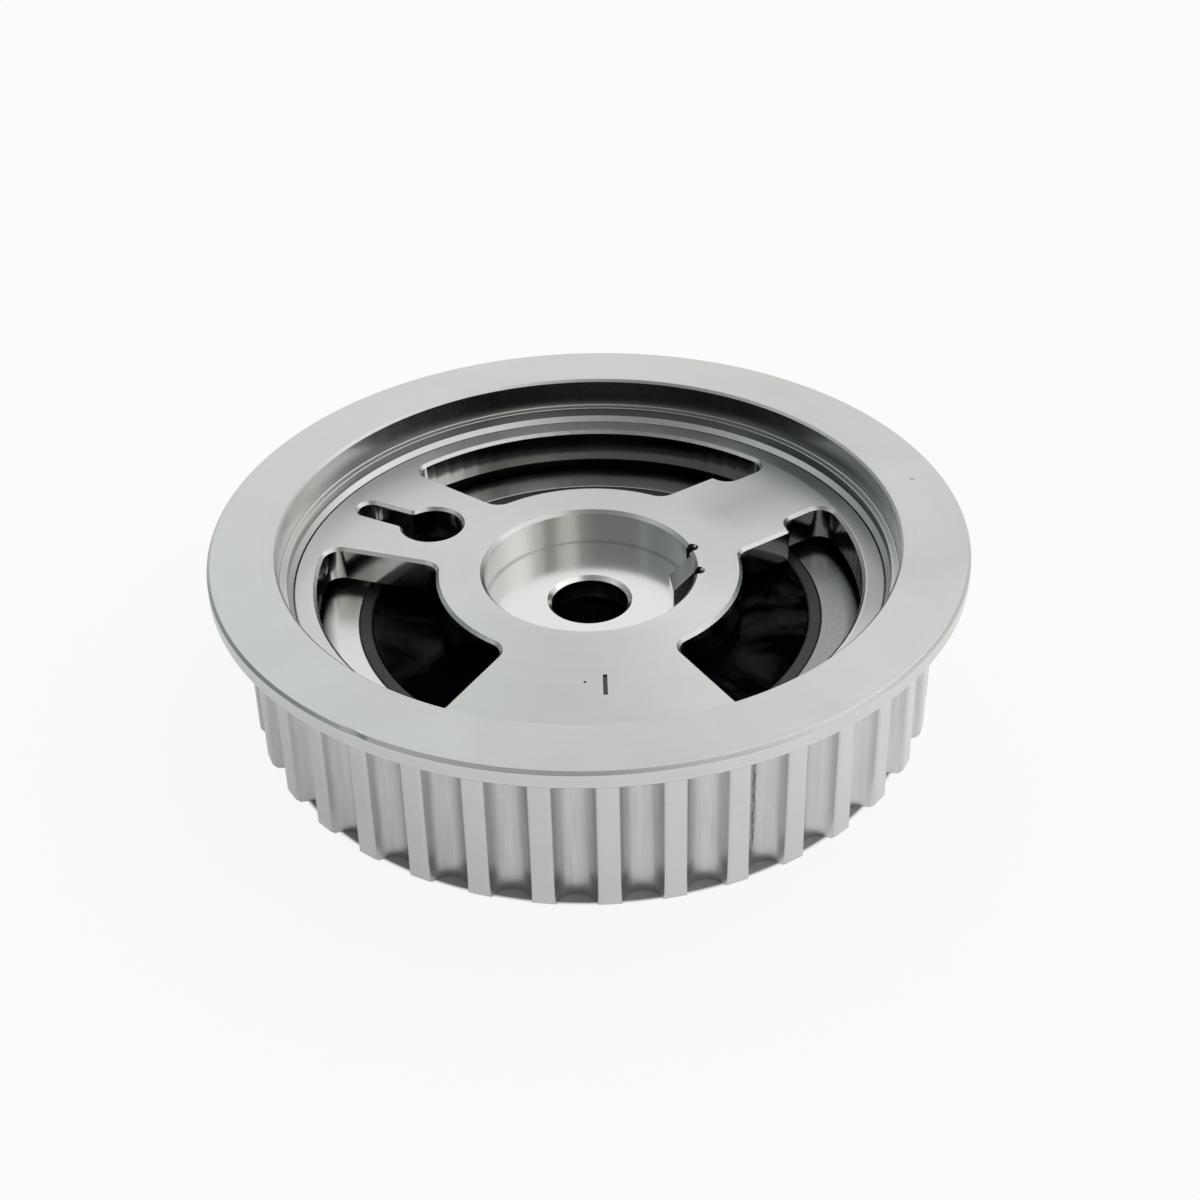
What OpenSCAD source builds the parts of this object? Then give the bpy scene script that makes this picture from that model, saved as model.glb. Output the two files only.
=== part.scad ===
// Belt-driven cam phaser. A toothed, flanged pulley carries a vane housing, and a keyed
// hub plate turns a few degrees inside it together with the vane rotor.
// Millimetres, Z up along the axle, origin at the centre of the bottom face.
// Angles are counted from +X, anticlockwise seen from the front (from +Z).

/* [Belt drive] */
// Number of belt teeth
tooth_count = 36; // [36:1:44]
// Belt pitch
belt_pitch = 9.525; // [9.4:0.005:10.5]
// Height of the belt's pitch line above the tooth tips
pitch_line_height = 0.686; // [0.4:0.001:0.9]
// Radius of the round groove between two teeth
groove_r = 3; // [2.4:0.05:3.4]
// Length of the teeth along the axle
tooth_length = 25.6; // [25:0.1:32]
// Chamfer at the open end of the teeth
tooth_chamfer = 0.5; // [0.2:0.05:1]
// Angle of the middle of the first tooth
tooth_phase = 1.8; // [0:0.1:10]

/* [Rim] */
// Thickness of the belt flange
flange_t = 3; // [2:0.1:5]
// Reach of the flange past the tooth tips
flange_overhang = 4.8; // [3:0.1:8]
// Chamfer on the flange's outer edges
flange_chamfer = 0.45; // [0.2:0.05:1]
// Wall between the groove roots and the bore
rim_wall = 4.64; // [4:0.02:6]
// Depth of the first step in the front recess
ledge_depth = 5; // [3:0.1:6]
// Width of the narrow ledge in the front recess
ledge_w = 1.15; // [0.6:0.05:2]
// Lead-in chamfer around the hub plate
lead_chamfer = 0.75; // [0.4:0.05:1]
// Width of the inner rib that the two covers clamp
rib_w = 1.65; // [1:0.05:2.5]

/* [Hub plate] */
// Depth of the plate's front face below the flange
plate_depth = 7.3; // [7:0.1:8.5]
// Thickness of the plate
plate_t = 5.8; // [4:0.1:6.5]
// Running gap between the plate and the pulley's bore
seam_gap = 0.12; // [0.1:0.02:0.4]
// Chamfer on the plate's outer edge
plate_chamfer = 0.3; // [0.2:0.05:0.6]
// Width of the ring outside the windows
plate_ring_w = 3.4; // [2:0.1:4]
// Radius of the solid hub inside the windows
hub_r = 24.1; // [22.5:0.1:26]
// Rounding of the windows' outward corners
window_round = 2.6; // [1:0.1:3.5]
// Rounding of the windows' inward corners
notch_round = 0.8; // [0.3:0.1:1.5]
// Middle of the wide lower spoke
wide_spoke_angle = 269.4; // [266:0.1:274]
// Half of the angle that the wide spoke covers
wide_spoke_half = 31.2; // [26:0.1:34]
// Middle of the spoke with the keyhole
keyhole_spoke_angle = 151.3; // [148:0.1:154]
// Half width of the keyhole spoke where it leaves the hub
keyhole_spoke_half = 10; // [9:0.1:11]
// Flare of each side of the keyhole spoke, in degrees
keyhole_spoke_flare = 10; // [0:0.5:14]
// Middle of the stepped spoke
stepped_spoke_angle = 33.5; // [30:0.1:37]
// Half width of the stepped spoke near the hub
stepped_spoke_half = 10.3; // [9:0.1:12]
// Half width of the stepped spoke outside its step
stepped_spoke_neck = 7.4; // [6:0.1:8.8]
// Radius of the step
step_r = 32.5; // [30:0.1:38]

/* [Keyhole] */
// Radius of the circle that the keyhole's round hole lies on
keyhole_place_r = 28.95; // [28.5:0.05:30]
// Radius of the round hole
keyhole_r = 4.85; // [4:0.05:5.2]
// Distance of the slot's round end from the plate's edge
keyhole_slot_margin = 5.4; // [4.5:0.1:7]
// Half width of the slot
keyhole_slot_half = 2; // [1.2:0.05:2.4]
// Sideways shift of the slot's middle from the round hole's middle
keyhole_slot_shift = 0.4; // [-0.8:0.1:0.8]
// Rounding where the slot runs into the round hole
keyhole_neck_round = 1.2; // [0.4:0.1:2]

/* [Hub] */
// Radius of the counterbore for the bolt head
counterbore_r = 16.6; // [15:0.1:17.4]
// Depth of the counterbore
counterbore_depth = 6; // [5.2:0.1:6.5]
// Chamfer at the mouth of the counterbore
counterbore_chamfer = 0.55; // [0.4:0.05:1]
// Radius of the hole for the camshaft bolt
bolt_r = 6.1; // [5:0.05:8]
// Chamfer at the mouth of the bolt hole
bolt_chamfer = 0.9; // [0.2:0.05:1]
// Thickness of the floor under the bolt head
hub_floor_t = 3.8; // [3.6:0.1:4]
// Radius of the boss that seats in the rotor
boss_r = 22; // [21.6:0.1:22.4]
// Angle of the wedge key in the counterbore
key_angle = 5.7; // [0:0.1:12]
// Width of the wedge key
key_w = 4.6; // [4:0.1:6]
// Reach of the wedge key at its foot
key_reach = 3.5; // [2:0.1:4.5]
// Height of the wedge key's upright nose
key_nose_h = 1.7; // [1:0.1:2.5]
// Depth of the wedge key's top below the plate face
key_top_depth = 0.7; // [0.5:0.05:1.2]
// Radius of the relief at each side of the key
key_relief_r = 1; // [0.5:0.05:1.2]

/* [Index mark] */
// Length of the engraved index line
mark_l = 4.8; // [3:0.1:6]
// Width of the engraved index line
mark_w = 0.65; // [0.4:0.05:1]
// Depth of the engraving
mark_depth = 0.25; // [0.1:0.05:0.5]
// Place of the line across the spoke
mark_x = 1.9; // [-4:0.1:4]
// Distance of the line's middle from the axle
mark_r = 30.3; // [28:0.1:34]

/* [Vane housing] */
// Gap between the hub plate and the front cover
plate_gap = 1.8; // [1:0.1:2.2]
// Thickness of the front cover ring
front_cover_t = 3.2; // [3:0.1:4]
// Width of the front cover ring
front_cover_w = 9.55; // [9:0.05:10.5]
// Radial width of the front seal
front_seal_w = 2.1; // [1.5:0.1:2.5]
// Height of the rear cover above the bottom face
rear_recess = 0.4; // [0.2:0.1:0.8]
// Thickness of the rear cover
rear_cover_t = 2.6; // [2.6:0.1:3]
// Wall of the stator outside the oil chambers
stator_wall = 6.6; // [6.2:0.1:7.4]
// Radial clearance of pieces that are pressed together
press_gap = 0.02; // [0.01:0.01:0.05]

/* [Vanes] */
// Angle of the first vane at rest
vane_angle = 60; // [0:1:89]
// Half of the angle that a vane covers
vane_half = 10; // [9.5:0.1:11]
// Angle that the rotor can turn
phase_travel = 25; // [15:1:26]
// Angle left between vane and lobe at each end of the travel
stop_gap = 0.75; // [0.5:0.05:1.5]
// Radius of the rotor between its vanes
rotor_r = 24; // [23.6:0.1:25]
// Running clearance of seals, tips and end faces
running_gap = 0.1; // [0.08:0.01:0.15]
// Radius of the rotor's rear journal
journal_r = 17.95; // [17:0.05:19]
// Radial clearance of the rear journal
journal_gap = 0.05; // [0.02:0.01:0.09]
// Radius of the bore for the camshaft nose
pilot_r = 14; // [12:0.1:15]
// Depth of the bore for the camshaft nose
pilot_depth = 5; // [4.6:0.1:5.4]
// Radius of the oil drillings
oil_hole_r = 0.9; // [0.6:0.05:1]
// Angle between the side of a vane and the drilling beside it
oil_hole_offset = 4; // [3:0.1:6]

/* [Strip seals] */
// Thickness of a seal strip
strip_t = 2; // [1.5:0.1:2.5]
// Radial height of a seal strip
strip_h = 2.2; // [1.8:0.1:2.4]
// Radial space for the leaf spring under a strip
strip_spring_h = 0.5; // [0.4:0.05:0.7]
// Thickness of a leaf spring
leaf_t = 0.2; // [0.15:0.01:0.25]
// Gap at each long side of a leaf spring
leaf_side_gap = 0.2; // [0.1:0.05:0.4]
// Gap at each end of a leaf spring
leaf_end_gap = 0.35; // [0.2:0.05:1]

/* [Lock pin] */
// Wall between the lock pin's bore and the slot in the vane's tip
pin_wall = 1.7; // [1:0.1:2.5]
// Radius of the lock pin
pin_r = 2.9; // [2.5:0.05:3]
// Distance of the end of the pin's bore below the vane's top
pin_bore_drop = 0.5; // [0.3:0.05:0.6]
// Sliding clearance of the lock pin
pin_gap = 0.05; // [0.02:0.01:0.09]
// Length of the lock pin
pin_l = 4.6; // [4.2:0.1:4.8]
// Travel of the lock pin
pin_travel = 1.4; // [1:0.1:1.4]
// Clearance of the pin's nose in its groove
pin_groove_gap = 0.2; // [0.15:0.05:0.3]
// Radius of the spring's pocket in the pin
pin_pocket_r = 1.9; // [1.7:0.1:2]
// Depth of the spring's pocket in the pin
pin_pocket_depth = 2.6; // [2:0.1:3]
// Wire thickness of the pin's spring
wire_t = 0.5; // [0.3:0.05:0.6]
// Turns of the pin's spring
wire_turns = 4; // [3:1:6]

/* [Fasteners] */
// Radius of the cover screws
screw_r = 2; // [1.5:0.1:2.1]
// Radius of the screws' countersunk heads
screw_head_r = 3.8; // [3:0.1:3.9]
// Radius of the screws' hexagon sockets, over the corners
socket_r = 1.45; // [1:0.05:1.6]
// Depth of the screws' hexagon sockets
socket_depth = 1.4; // [1:0.1:1.8]
// Depth of a screw in the front cover
screw_grip = 2.4; // [1.8:0.1:2.6]
// Radius of the stator's key pins
key_pin_r = 1.5; // [1:0.1:1.6]
// Radius of the drive dowels
dowel_r = 1.5; // [1:0.1:1.7]
// Depth of a drive dowel in the hub and in the rotor
dowel_grip = 3; // [2:0.1:4]
// Wire radius of the rear cover's sealing ring
seal_ring_r = 0.6; // [0.4:0.05:0.62]

/* [Hidden] */
$fn = 96;
// Overlap that makes a cut pass cleanly through a face
cut = 1;
// Number of vanes, and of the lobes, strips and screws that go with them
vane_count = 4;
// Number of dowels between the hub and the rotor
dowel_count = 3;

// Radii, from the belt inwards
tooth_pitch_angle = 360 / tooth_count;
tip_r = tooth_count * belt_pitch / (2 * PI) - pitch_line_height;
flange_r = tip_r + flange_overhang;
bore_r = tip_r - groove_r - rim_wall;
step_bore_r = bore_r + lead_chamfer;
front_bore_r = step_bore_r + ledge_w;
rib_r = bore_r - rib_w;
plate_r = bore_r - seam_gap;
window_r = plate_r - plate_ring_w;
keyhole_slot_place_r = plate_r - keyhole_slot_margin;
keyhole_blend_r = keyhole_r - 0.03;
cover_r = bore_r - press_gap;
front_cover_bore_r = bore_r - front_cover_w;
front_seal_bore_r = front_cover_bore_r - front_seal_w;
face_r = front_seal_bore_r - running_gap;
stator_r = rib_r - press_gap;
chamber_r = rib_r - stator_wall;
vane_r = chamber_r - running_gap;
lobe_r = rotor_r + running_gap;
pin_place_r = vane_r - strip_h - strip_spring_h - pin_wall - pin_r;
screw_place_r = (chamber_r + stator_r) / 2;
dowel_place_r = (counterbore_r + boss_r) / 2;

// Heights, from the bottom face up
total_h = tooth_length + flange_t;
ledge_z = total_h - ledge_depth;
plate_top = total_h - plate_depth;
plate_bottom = plate_top - plate_t;
counterbore_z = plate_top - counterbore_depth;
boss_z = counterbore_z - hub_floor_t;
front_cover_top = plate_bottom - plate_gap;
front_cover_bottom = front_cover_top - front_cover_t;
rear_cover_top = rear_recess + rear_cover_t;
face_top = front_cover_top - 2 * running_gap;
face_bottom = front_cover_bottom + running_gap;
vane_top = front_cover_bottom - running_gap;
vane_bottom = rear_cover_top + running_gap;
journal_z = rear_recess + 2 * running_gap;
pilot_top = journal_z + pilot_depth;
pin_bore_top = vane_top - pin_bore_drop;
pin_nose_z = vane_bottom - pin_travel;
pin_pocket_z = pin_nose_z + pin_l - pin_pocket_depth;
groove_z = pin_nose_z - pin_groove_gap;

// Angles of the vanes and of the lobes between them
vane_pitch = 360 / vane_count;
lobe_from = vane_half + phase_travel + stop_gap;
lobe_to = vane_pitch - vane_half - stop_gap;
lobe_mid = (lobe_from + lobe_to) / 2;

// A ring between two radii and two heights
module ring(inner_r, outer_r, low, high) {
    difference() {
        translate([0, 0, low]) cylinder(r = outer_r, h = high - low);
        translate([0, 0, low - cut]) cylinder(r = inner_r, h = high - low + 2 * cut);
    }
}

// A flat piece of pie between two angles less than half a turn apart
module sector_2d(radius, from, to) {
    reach = radius / cos((to - from) / 4);
    mid = (from + to) / 2;
    intersection() {
        circle(r = radius);
        polygon([[0, 0], for (a = [from, mid, to]) reach * [cos(a), sin(a)]]);
    }
}

// Places its children on each of the angles of a pattern
module around(count, first, radius) {
    for (i = [0 : count - 1])
        rotate(first + i * 360 / count) translate([radius, 0, 0]) children();
}

// Outline of the toothed rim
module teeth_2d() {
    difference() {
        circle(r = tip_r);
        around(tooth_count, tooth_phase + tooth_pitch_angle / 2, tip_r) circle(r = groove_r);
    }
}

// The stepped bore of the pulley, as a solid to cut away
module pulley_bore() {
    rotate_extrude()
        polygon([
            [0, -cut], [bore_r, -cut],
            [bore_r, rear_cover_top], [rib_r, rear_cover_top],
            [rib_r, front_cover_bottom], [bore_r, front_cover_bottom],
            [bore_r, plate_top], [step_bore_r, plate_top + lead_chamfer],
            [step_bore_r, ledge_z], [front_bore_r, ledge_z],
            [front_bore_r, total_h + cut], [0, total_h + cut]
        ]);
}

// Rim with belt teeth, a plain collar in front of them and a stepped front recess
module toothed_pulley() {
    color([0.76, 0.77, 0.75])
    difference() {
        union() {
            linear_extrude(tooth_length) teeth_2d();
            translate([0, 0, tooth_length]) cylinder(r = tip_r, h = flange_t);
        }
        pulley_bore();
        rotate_extrude()
            polygon([
                [tip_r - tooth_chamfer, -cut], [tip_r + cut, -cut],
                [tip_r + cut, tooth_chamfer], [tip_r, tooth_chamfer], [tip_r - tooth_chamfer, 0]
            ]);
        stator_key_holes();
    }
}

// Flange ring around the rim's collar, level with the front face. It keeps the belt on the teeth.
module belt_flange() {
    color([0.76, 0.77, 0.75])
    rotate_extrude()
        polygon([
            [tip_r, tooth_length], [flange_r - flange_chamfer, tooth_length],
            [flange_r, tooth_length + flange_chamfer], [flange_r, total_h - flange_chamfer],
            [flange_r - flange_chamfer, total_h], [tip_r, total_h]
        ]);
}

// Ring that closes the oil chambers at the front
module front_cover() {
    color([0.7, 0.71, 0.7])
    difference() {
        ring(front_cover_bore_r, cover_r, front_cover_bottom, front_cover_top);
        screw_holes();
    }
}

// Dark sealing ring between the front cover and the rotor
module front_seal() {
    color([0.2, 0.21, 0.22])
    ring(front_seal_bore_r, front_cover_bore_r - press_gap, face_bottom, front_cover_top);
}

// Flat outline of the stator with its inward lobes
module stator_2d() {
    difference() {
        circle(r = stator_r);
        circle(r = chamber_r);
    }
    difference() {
        for (i = [0 : vane_count - 1])
            rotate(vane_angle + i * vane_pitch)
                sector_2d(chamber_r + stator_wall / 2, lobe_from, lobe_to);
        circle(r = lobe_r);
    }
}

// Vane housing: a ring with lobes between which the vanes swing
module stator() {
    color([0.62, 0.63, 0.62])
    difference() {
        translate([0, 0, rear_cover_top])
            linear_extrude(front_cover_bottom - rear_cover_top) stator_2d();
        screw_holes();
        stator_key_holes();
        around(vane_count, vane_angle + lobe_mid, lobe_r)
            strip_slot(-1);
    }
}

// Rear cover with the bearing for the rotor and the groove for the lock pin
module rear_cover() {
    ring_seat_r = bore_r - 2 * seal_ring_r - press_gap;
    ring_half = seal_ring_r + press_gap;
    mid_z = (rear_recess + rear_cover_top) / 2;
    color([0.66, 0.67, 0.66])
    difference() {
        ring(journal_r + journal_gap, cover_r, rear_recess, rear_cover_top);
        ring(ring_seat_r, cover_r + cut, mid_z - ring_half, mid_z + ring_half);
        screw_holes();
        rotate(vane_angle) pin_groove();
    }
}

// Points of an arc about a centre, from one angle to another
function arc(centre, radius, from, to, steps) = [
    for (i = [0 : steps])
        let (a = from + (to - from) * i / steps)
        centre + radius * [cos(a), sin(a)]
];

// Round-ended arc in which the nose of the lock pin travels
module pin_groove() {
    half = pin_r + pin_groove_gap;
    side_steps = 12;
    cap_steps = 18;
    cap_step = 180 / cap_steps;
    end_place = pin_place_r * [cos(phase_travel), sin(phase_travel)];
    outline = concat(
        arc([0, 0], pin_place_r + half, 0, phase_travel, side_steps),
        arc(end_place, half, phase_travel + cap_step, phase_travel + 180 - cap_step, cap_steps - 2),
        arc([0, 0], pin_place_r - half, phase_travel, 0, side_steps),
        arc([pin_place_r, 0], half, 180 + cap_step, 360 - cap_step, cap_steps - 2)
    );
    translate([0, 0, groove_z]) linear_extrude(rear_cover_top - groove_z + cut) polygon(outline);
}

// Round rubber ring in the rear cover's edge
module rear_seal_ring() {
    color([0.12, 0.12, 0.13])
    rotate_extrude()
        translate([bore_r - seal_ring_r - press_gap / 2, (rear_recess + rear_cover_top) / 2])
            circle(r = seal_ring_r - press_gap / 2);
}

// Shape of one countersunk screw, made larger by a clearance for its hole
module screw_shape(gap) {
    head_h = screw_head_r - screw_r;
    tip_z = front_cover_bottom + screw_grip;
    translate([0, 0, rear_recess])
        cylinder(r1 = screw_head_r + gap, r2 = screw_r + gap, h = head_h);
    translate([0, 0, rear_recess]) cylinder(r = screw_r + gap, h = tip_z - rear_recess + gap);
}

// Holes for the cover screws, open at the rear
module screw_holes() {
    around(vane_count, vane_angle + lobe_mid, screw_place_r) {
        screw_shape(press_gap);
        translate([0, 0, rear_recess - cut]) cylinder(r = screw_head_r + press_gap, h = cut);
    }
}

// Screws with hexagon sockets that clamp both covers to the stator and the rib
module cover_screws() {
    color([0.35, 0.35, 0.36])
    around(vane_count, vane_angle + lobe_mid, screw_place_r)
        difference() {
            screw_shape(0);
            translate([0, 0, rear_recess - cut]) cylinder(r = socket_r, h = cut + socket_depth, $fn = 6);
        }
}

// Holes for the key pins, half in the stator and half in the pulley's rib
module stator_key_holes() {
    around(vane_count, vane_angle, rib_r)
        translate([0, 0, rear_cover_top])
            cylinder(r = key_pin_r + press_gap, h = front_cover_bottom - rear_cover_top);
}

// Pins that carry the belt's turning force from the pulley to the stator
module stator_key_pins() {
    color([0.5, 0.5, 0.5])
    around(vane_count, vane_angle, rib_r)
        translate([0, 0, rear_cover_top]) cylinder(r = key_pin_r, h = front_cover_bottom - rear_cover_top);
}

// Flat outline of the three spokes
module spokes_2d() {
    flare = tan(keyhole_spoke_flare) * (plate_r - hub_r);
    sector_2d(plate_r + cut, wide_spoke_angle - wide_spoke_half, wide_spoke_angle + wide_spoke_half);
    rotate(keyhole_spoke_angle)
        polygon([
            [0, -keyhole_spoke_half], [hub_r, -keyhole_spoke_half],
            [plate_r, -keyhole_spoke_half - flare], [plate_r, keyhole_spoke_half + flare],
            [hub_r, keyhole_spoke_half], [0, keyhole_spoke_half]
        ]);
    rotate(stepped_spoke_angle) {
        translate([0, -stepped_spoke_half]) square([step_r, 2 * stepped_spoke_half]);
        translate([0, -stepped_spoke_neck]) square([plate_r, 2 * stepped_spoke_neck]);
    }
}

// Flat outline of the three windows with rounded corners
module windows_2d() {
    offset(r = -notch_round) offset(r = notch_round + window_round) offset(delta = -window_round)
        difference() {
            circle(r = window_r);
            circle(r = hub_r);
            spokes_2d();
        }
}

// Round hole with a narrow slot leading outwards, blended where they meet
module keyhole_2d() {
    offset(r = -keyhole_neck_round) offset(r = keyhole_neck_round) {
        translate([keyhole_place_r, 0]) circle(r = keyhole_blend_r);
        translate([keyhole_slot_place_r, keyhole_slot_shift]) circle(r = keyhole_slot_half);
        translate([keyhole_place_r, keyhole_slot_shift - keyhole_slot_half])
            square([keyhole_slot_place_r - keyhole_place_r, 2 * keyhole_slot_half]);
    }
}

// Side view of the wedge key, from the counterbore's wall inwards
module key_side_2d() {
    key_top = plate_top - key_top_depth;
    polygon([
        [counterbore_r - key_reach, counterbore_z - cut / 2],
        [counterbore_r - key_reach, counterbore_z + key_nose_h],
        [counterbore_r, key_top], [counterbore_r + cut, key_top],
        [counterbore_r + cut, counterbore_z - cut / 2]
    ]);
}

// Turned body of the hub plate before its windows are cut
module hub_blank() {
    rotate_extrude()
        polygon([
            [bolt_r, boss_z], [boss_r, boss_z], [boss_r, plate_bottom], [plate_r, plate_bottom],
            [plate_r, plate_top - plate_chamfer], [plate_r - plate_chamfer, plate_top],
            [counterbore_r + counterbore_chamfer, plate_top],
            [counterbore_r, plate_top - counterbore_chamfer], [counterbore_r, counterbore_z],
            [bolt_r + bolt_chamfer, counterbore_z], [bolt_r, counterbore_z - bolt_chamfer]
        ]);
}

// Driven plate with three spokes, timing keyhole, counterbore and wedge key
module hub_plate() {
    relief_x = counterbore_r + key_relief_r / 3;
    relief_y = key_w / 2 + key_relief_r;
    color([0.78, 0.79, 0.77])
    union() {
        difference() {
            hub_blank();
            translate([0, 0, plate_bottom - cut]) linear_extrude(plate_t + 2 * cut) windows_2d();
            rotate(keyhole_spoke_angle)
                translate([0, 0, plate_bottom - cut]) {
                    linear_extrude(plate_t + 2 * cut) keyhole_2d();
                    translate([keyhole_place_r, 0, 0]) cylinder(r = keyhole_r, h = plate_t + 2 * cut);
                }
            rotate(key_angle)
                for (side = [-1, 1])
                    translate([relief_x, side * relief_y, counterbore_z])
                        cylinder(r = key_relief_r, h = counterbore_depth + cut);
            translate([mark_x - mark_w / 2, -mark_r - mark_l / 2, plate_top - mark_depth])
                cube([mark_w, mark_l, mark_depth + cut]);
            dowel_holes();
        }
        rotate(key_angle)
            translate([0, key_w / 2, 0]) rotate([90, 0, 0]) linear_extrude(key_w) key_side_2d();
    }
}

// Flat outline of the vanes from the middle out to a given radius
module vanes_2d(radius) {
    for (i = [0 : vane_count - 1])
        rotate(vane_angle + i * vane_pitch) sector_2d(radius, -vane_half, vane_half);
}

// Vane rotor with its front disc, rear journal and oil drillings
module rotor() {
    color([0.09, 0.1, 0.12])
    difference() {
        union() {
            translate([0, 0, face_bottom]) cylinder(r = face_r, h = face_top - face_bottom);
            translate([0, 0, vane_bottom]) cylinder(r = rotor_r, h = face_top - vane_bottom);
            translate([0, 0, journal_z]) cylinder(r = journal_r, h = vane_bottom - journal_z + cut);
            translate([0, 0, vane_bottom]) linear_extrude(vane_top - vane_bottom) vanes_2d(vane_r);
            translate([0, 0, vane_bottom]) linear_extrude(face_top - vane_bottom) vanes_2d(face_r - cut);
        }
        translate([0, 0, boss_z]) cylinder(r = boss_r + press_gap, h = face_top - boss_z + cut);
        translate([0, 0, journal_z - cut]) cylinder(r = pilot_r, h = pilot_depth + cut);
        cylinder(r = bolt_r, h = total_h);
        dowel_holes();
        around(vane_count, vane_angle, vane_r) strip_slot(1);
        rotate(vane_angle) translate([pin_place_r, 0, vane_bottom - cut])
            cylinder(r = pin_r + pin_gap, h = pin_bore_top - vane_bottom + cut);
        for (side = [-1, 1])
            around(vane_count, vane_angle + side * (vane_half + oil_hole_offset), 0)
                translate([pilot_r - cut, 0, (vane_bottom + pilot_top) / 2])
                    rotate([0, 90, 0]) cylinder(r = oil_hole_r, h = rotor_r - pilot_r + 2 * cut);
    }
}

// Blind holes for the dowels, half in the hub's boss and half in the rotor
module dowel_holes() {
    around(dowel_count, keyhole_spoke_angle, dowel_place_r)
        translate([0, 0, boss_z - dowel_grip]) cylinder(r = dowel_r + press_gap, h = 2 * dowel_grip);
}

// Dowels that turn the hub plate with the rotor
module drive_dowels() {
    color([0.5, 0.5, 0.5])
    around(dowel_count, keyhole_spoke_angle, dowel_place_r)
        translate([0, 0, boss_z - dowel_grip]) cylinder(r = dowel_r, h = 2 * dowel_grip);
}

// Slot for a strip and its spring, cut to the given side of the place where it stands
module strip_slot(side) {
    depth = strip_h + strip_spring_h - running_gap / 2;
    translate([side > 0 ? -depth : -cut, -strip_t / 2 - press_gap, rear_cover_top - cut])
        cube([depth + cut, strip_t + 2 * press_gap, front_cover_bottom - rear_cover_top + 2 * cut]);
}

// Sealing strip that stands half the running gap proud of its slot
module strip(side) {
    proud = running_gap / 2;
    translate([side > 0 ? proud - strip_h : -proud, -strip_t / 2, vane_bottom])
        cube([strip_h, strip_t, vane_top - vane_bottom]);
}

// Bowed leaf spring between a strip and the floor of its slot
module leaf_spring(side) {
    steps = 12;
    leaf_w = strip_t - 2 * leaf_side_gap;
    leaf_l = vane_top - vane_bottom - 2 * leaf_end_gap;
    bow = strip_spring_h - leaf_t - running_gap;
    near = strip_h - running_gap / 2;
    rise = [for (i = [0 : steps]) [near + bow * (1 - pow(2 * i / steps - 1, 2)), leaf_l * i / steps]];
    fall = [for (i = [steps : -1 : 0]) rise[i] + [leaf_t, 0]];
    translate([0, 0, (vane_top + vane_bottom - leaf_l) / 2])
        mirror([side > 0 ? 1 : 0, 0, 0])
            translate([0, leaf_w / 2, 0])
                rotate([90, 0, 0]) linear_extrude(leaf_w) polygon(concat(rise, fall));
}

// One strip in the inner face of a lobe
module lobe_seal(i) {
    color([0.22, 0.2, 0.18])
    rotate(vane_angle + lobe_mid + i * vane_pitch) translate([lobe_r, 0, 0]) strip(-1);
}

// The spring behind a lobe's strip
module lobe_spring(i) {
    color([0.6, 0.6, 0.62])
    rotate(vane_angle + lobe_mid + i * vane_pitch) translate([lobe_r, 0, 0]) leaf_spring(-1);
}

// One strip in the tip of a vane
module vane_seal(i) {
    color([0.22, 0.2, 0.18])
    rotate(vane_angle + i * vane_pitch) translate([vane_r, 0, 0]) strip(1);
}

// The spring behind a vane's strip
module vane_spring(i) {
    color([0.6, 0.6, 0.62])
    rotate(vane_angle + i * vane_pitch) translate([vane_r, 0, 0]) leaf_spring(1);
}

// Hollow pin in one vane, its nose in the rear cover's groove
module lock_pin() {
    color([0.45, 0.45, 0.46])
    rotate(vane_angle) translate([pin_place_r, 0, 0])
        difference() {
            translate([0, 0, pin_nose_z]) cylinder(r = pin_r, h = pin_l);
            translate([0, 0, pin_pocket_z]) cylinder(r = pin_pocket_r, h = pin_pocket_depth + cut);
        }
}

// Points of a coil: rings of a round wire along a helix
function coil_ring(turn, mid_r, z, sides) = [
    for (j = [0 : sides - 1])
        let (side = 360 * j / sides, reach = mid_r + wire_t / 2 * cos(side))
        [reach * cos(turn), reach * sin(turn), z + wire_t / 2 * sin(side)]
];

// Coil spring that presses the lock pin towards the rear cover
module lock_spring() {
    sides = 8;
    rings_per_turn = 16;
    rings = rings_per_turn * wire_turns;
    mid_r = pin_pocket_r - wire_t / 2 - 2 * pin_gap;
    low = pin_pocket_z + wire_t / 2;
    high = pin_bore_top - wire_t / 2;
    points = [
        for (i = [0 : rings])
            each coil_ring(360 * wire_turns * i / rings, mid_r, low + (high - low) * i / rings, sides)
    ];
    walls = [
        for (i = [0 : rings - 1], j = [0 : sides - 1])
            let (k = (j + 1) % sides)
            [i * sides + j, (i + 1) * sides + j, (i + 1) * sides + k, i * sides + k]
    ];
    ends = [
        [for (j = [0 : sides - 1]) j],
        [for (j = [sides - 1 : -1 : 0]) rings * sides + j]
    ];
    color([0.6, 0.6, 0.62])
    rotate(vane_angle) translate([pin_place_r, 0, 0]) polyhedron(points, concat(walls, ends));
}

toothed_pulley();
belt_flange();
front_cover();
front_seal();
stator();
rear_cover();
rear_seal_ring();
cover_screws();
stator_key_pins();
hub_plate();
rotor();
drive_dowels();
lock_pin();
lock_spring();
for (i = [0 : vane_count - 1]) {
    lobe_seal(i);
    lobe_spring(i);
    vane_seal(i);
    vane_spring(i);
}
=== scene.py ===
import bmesh
import bpy
import math
from mathutils import Matrix, Quaternion, Vector


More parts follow.
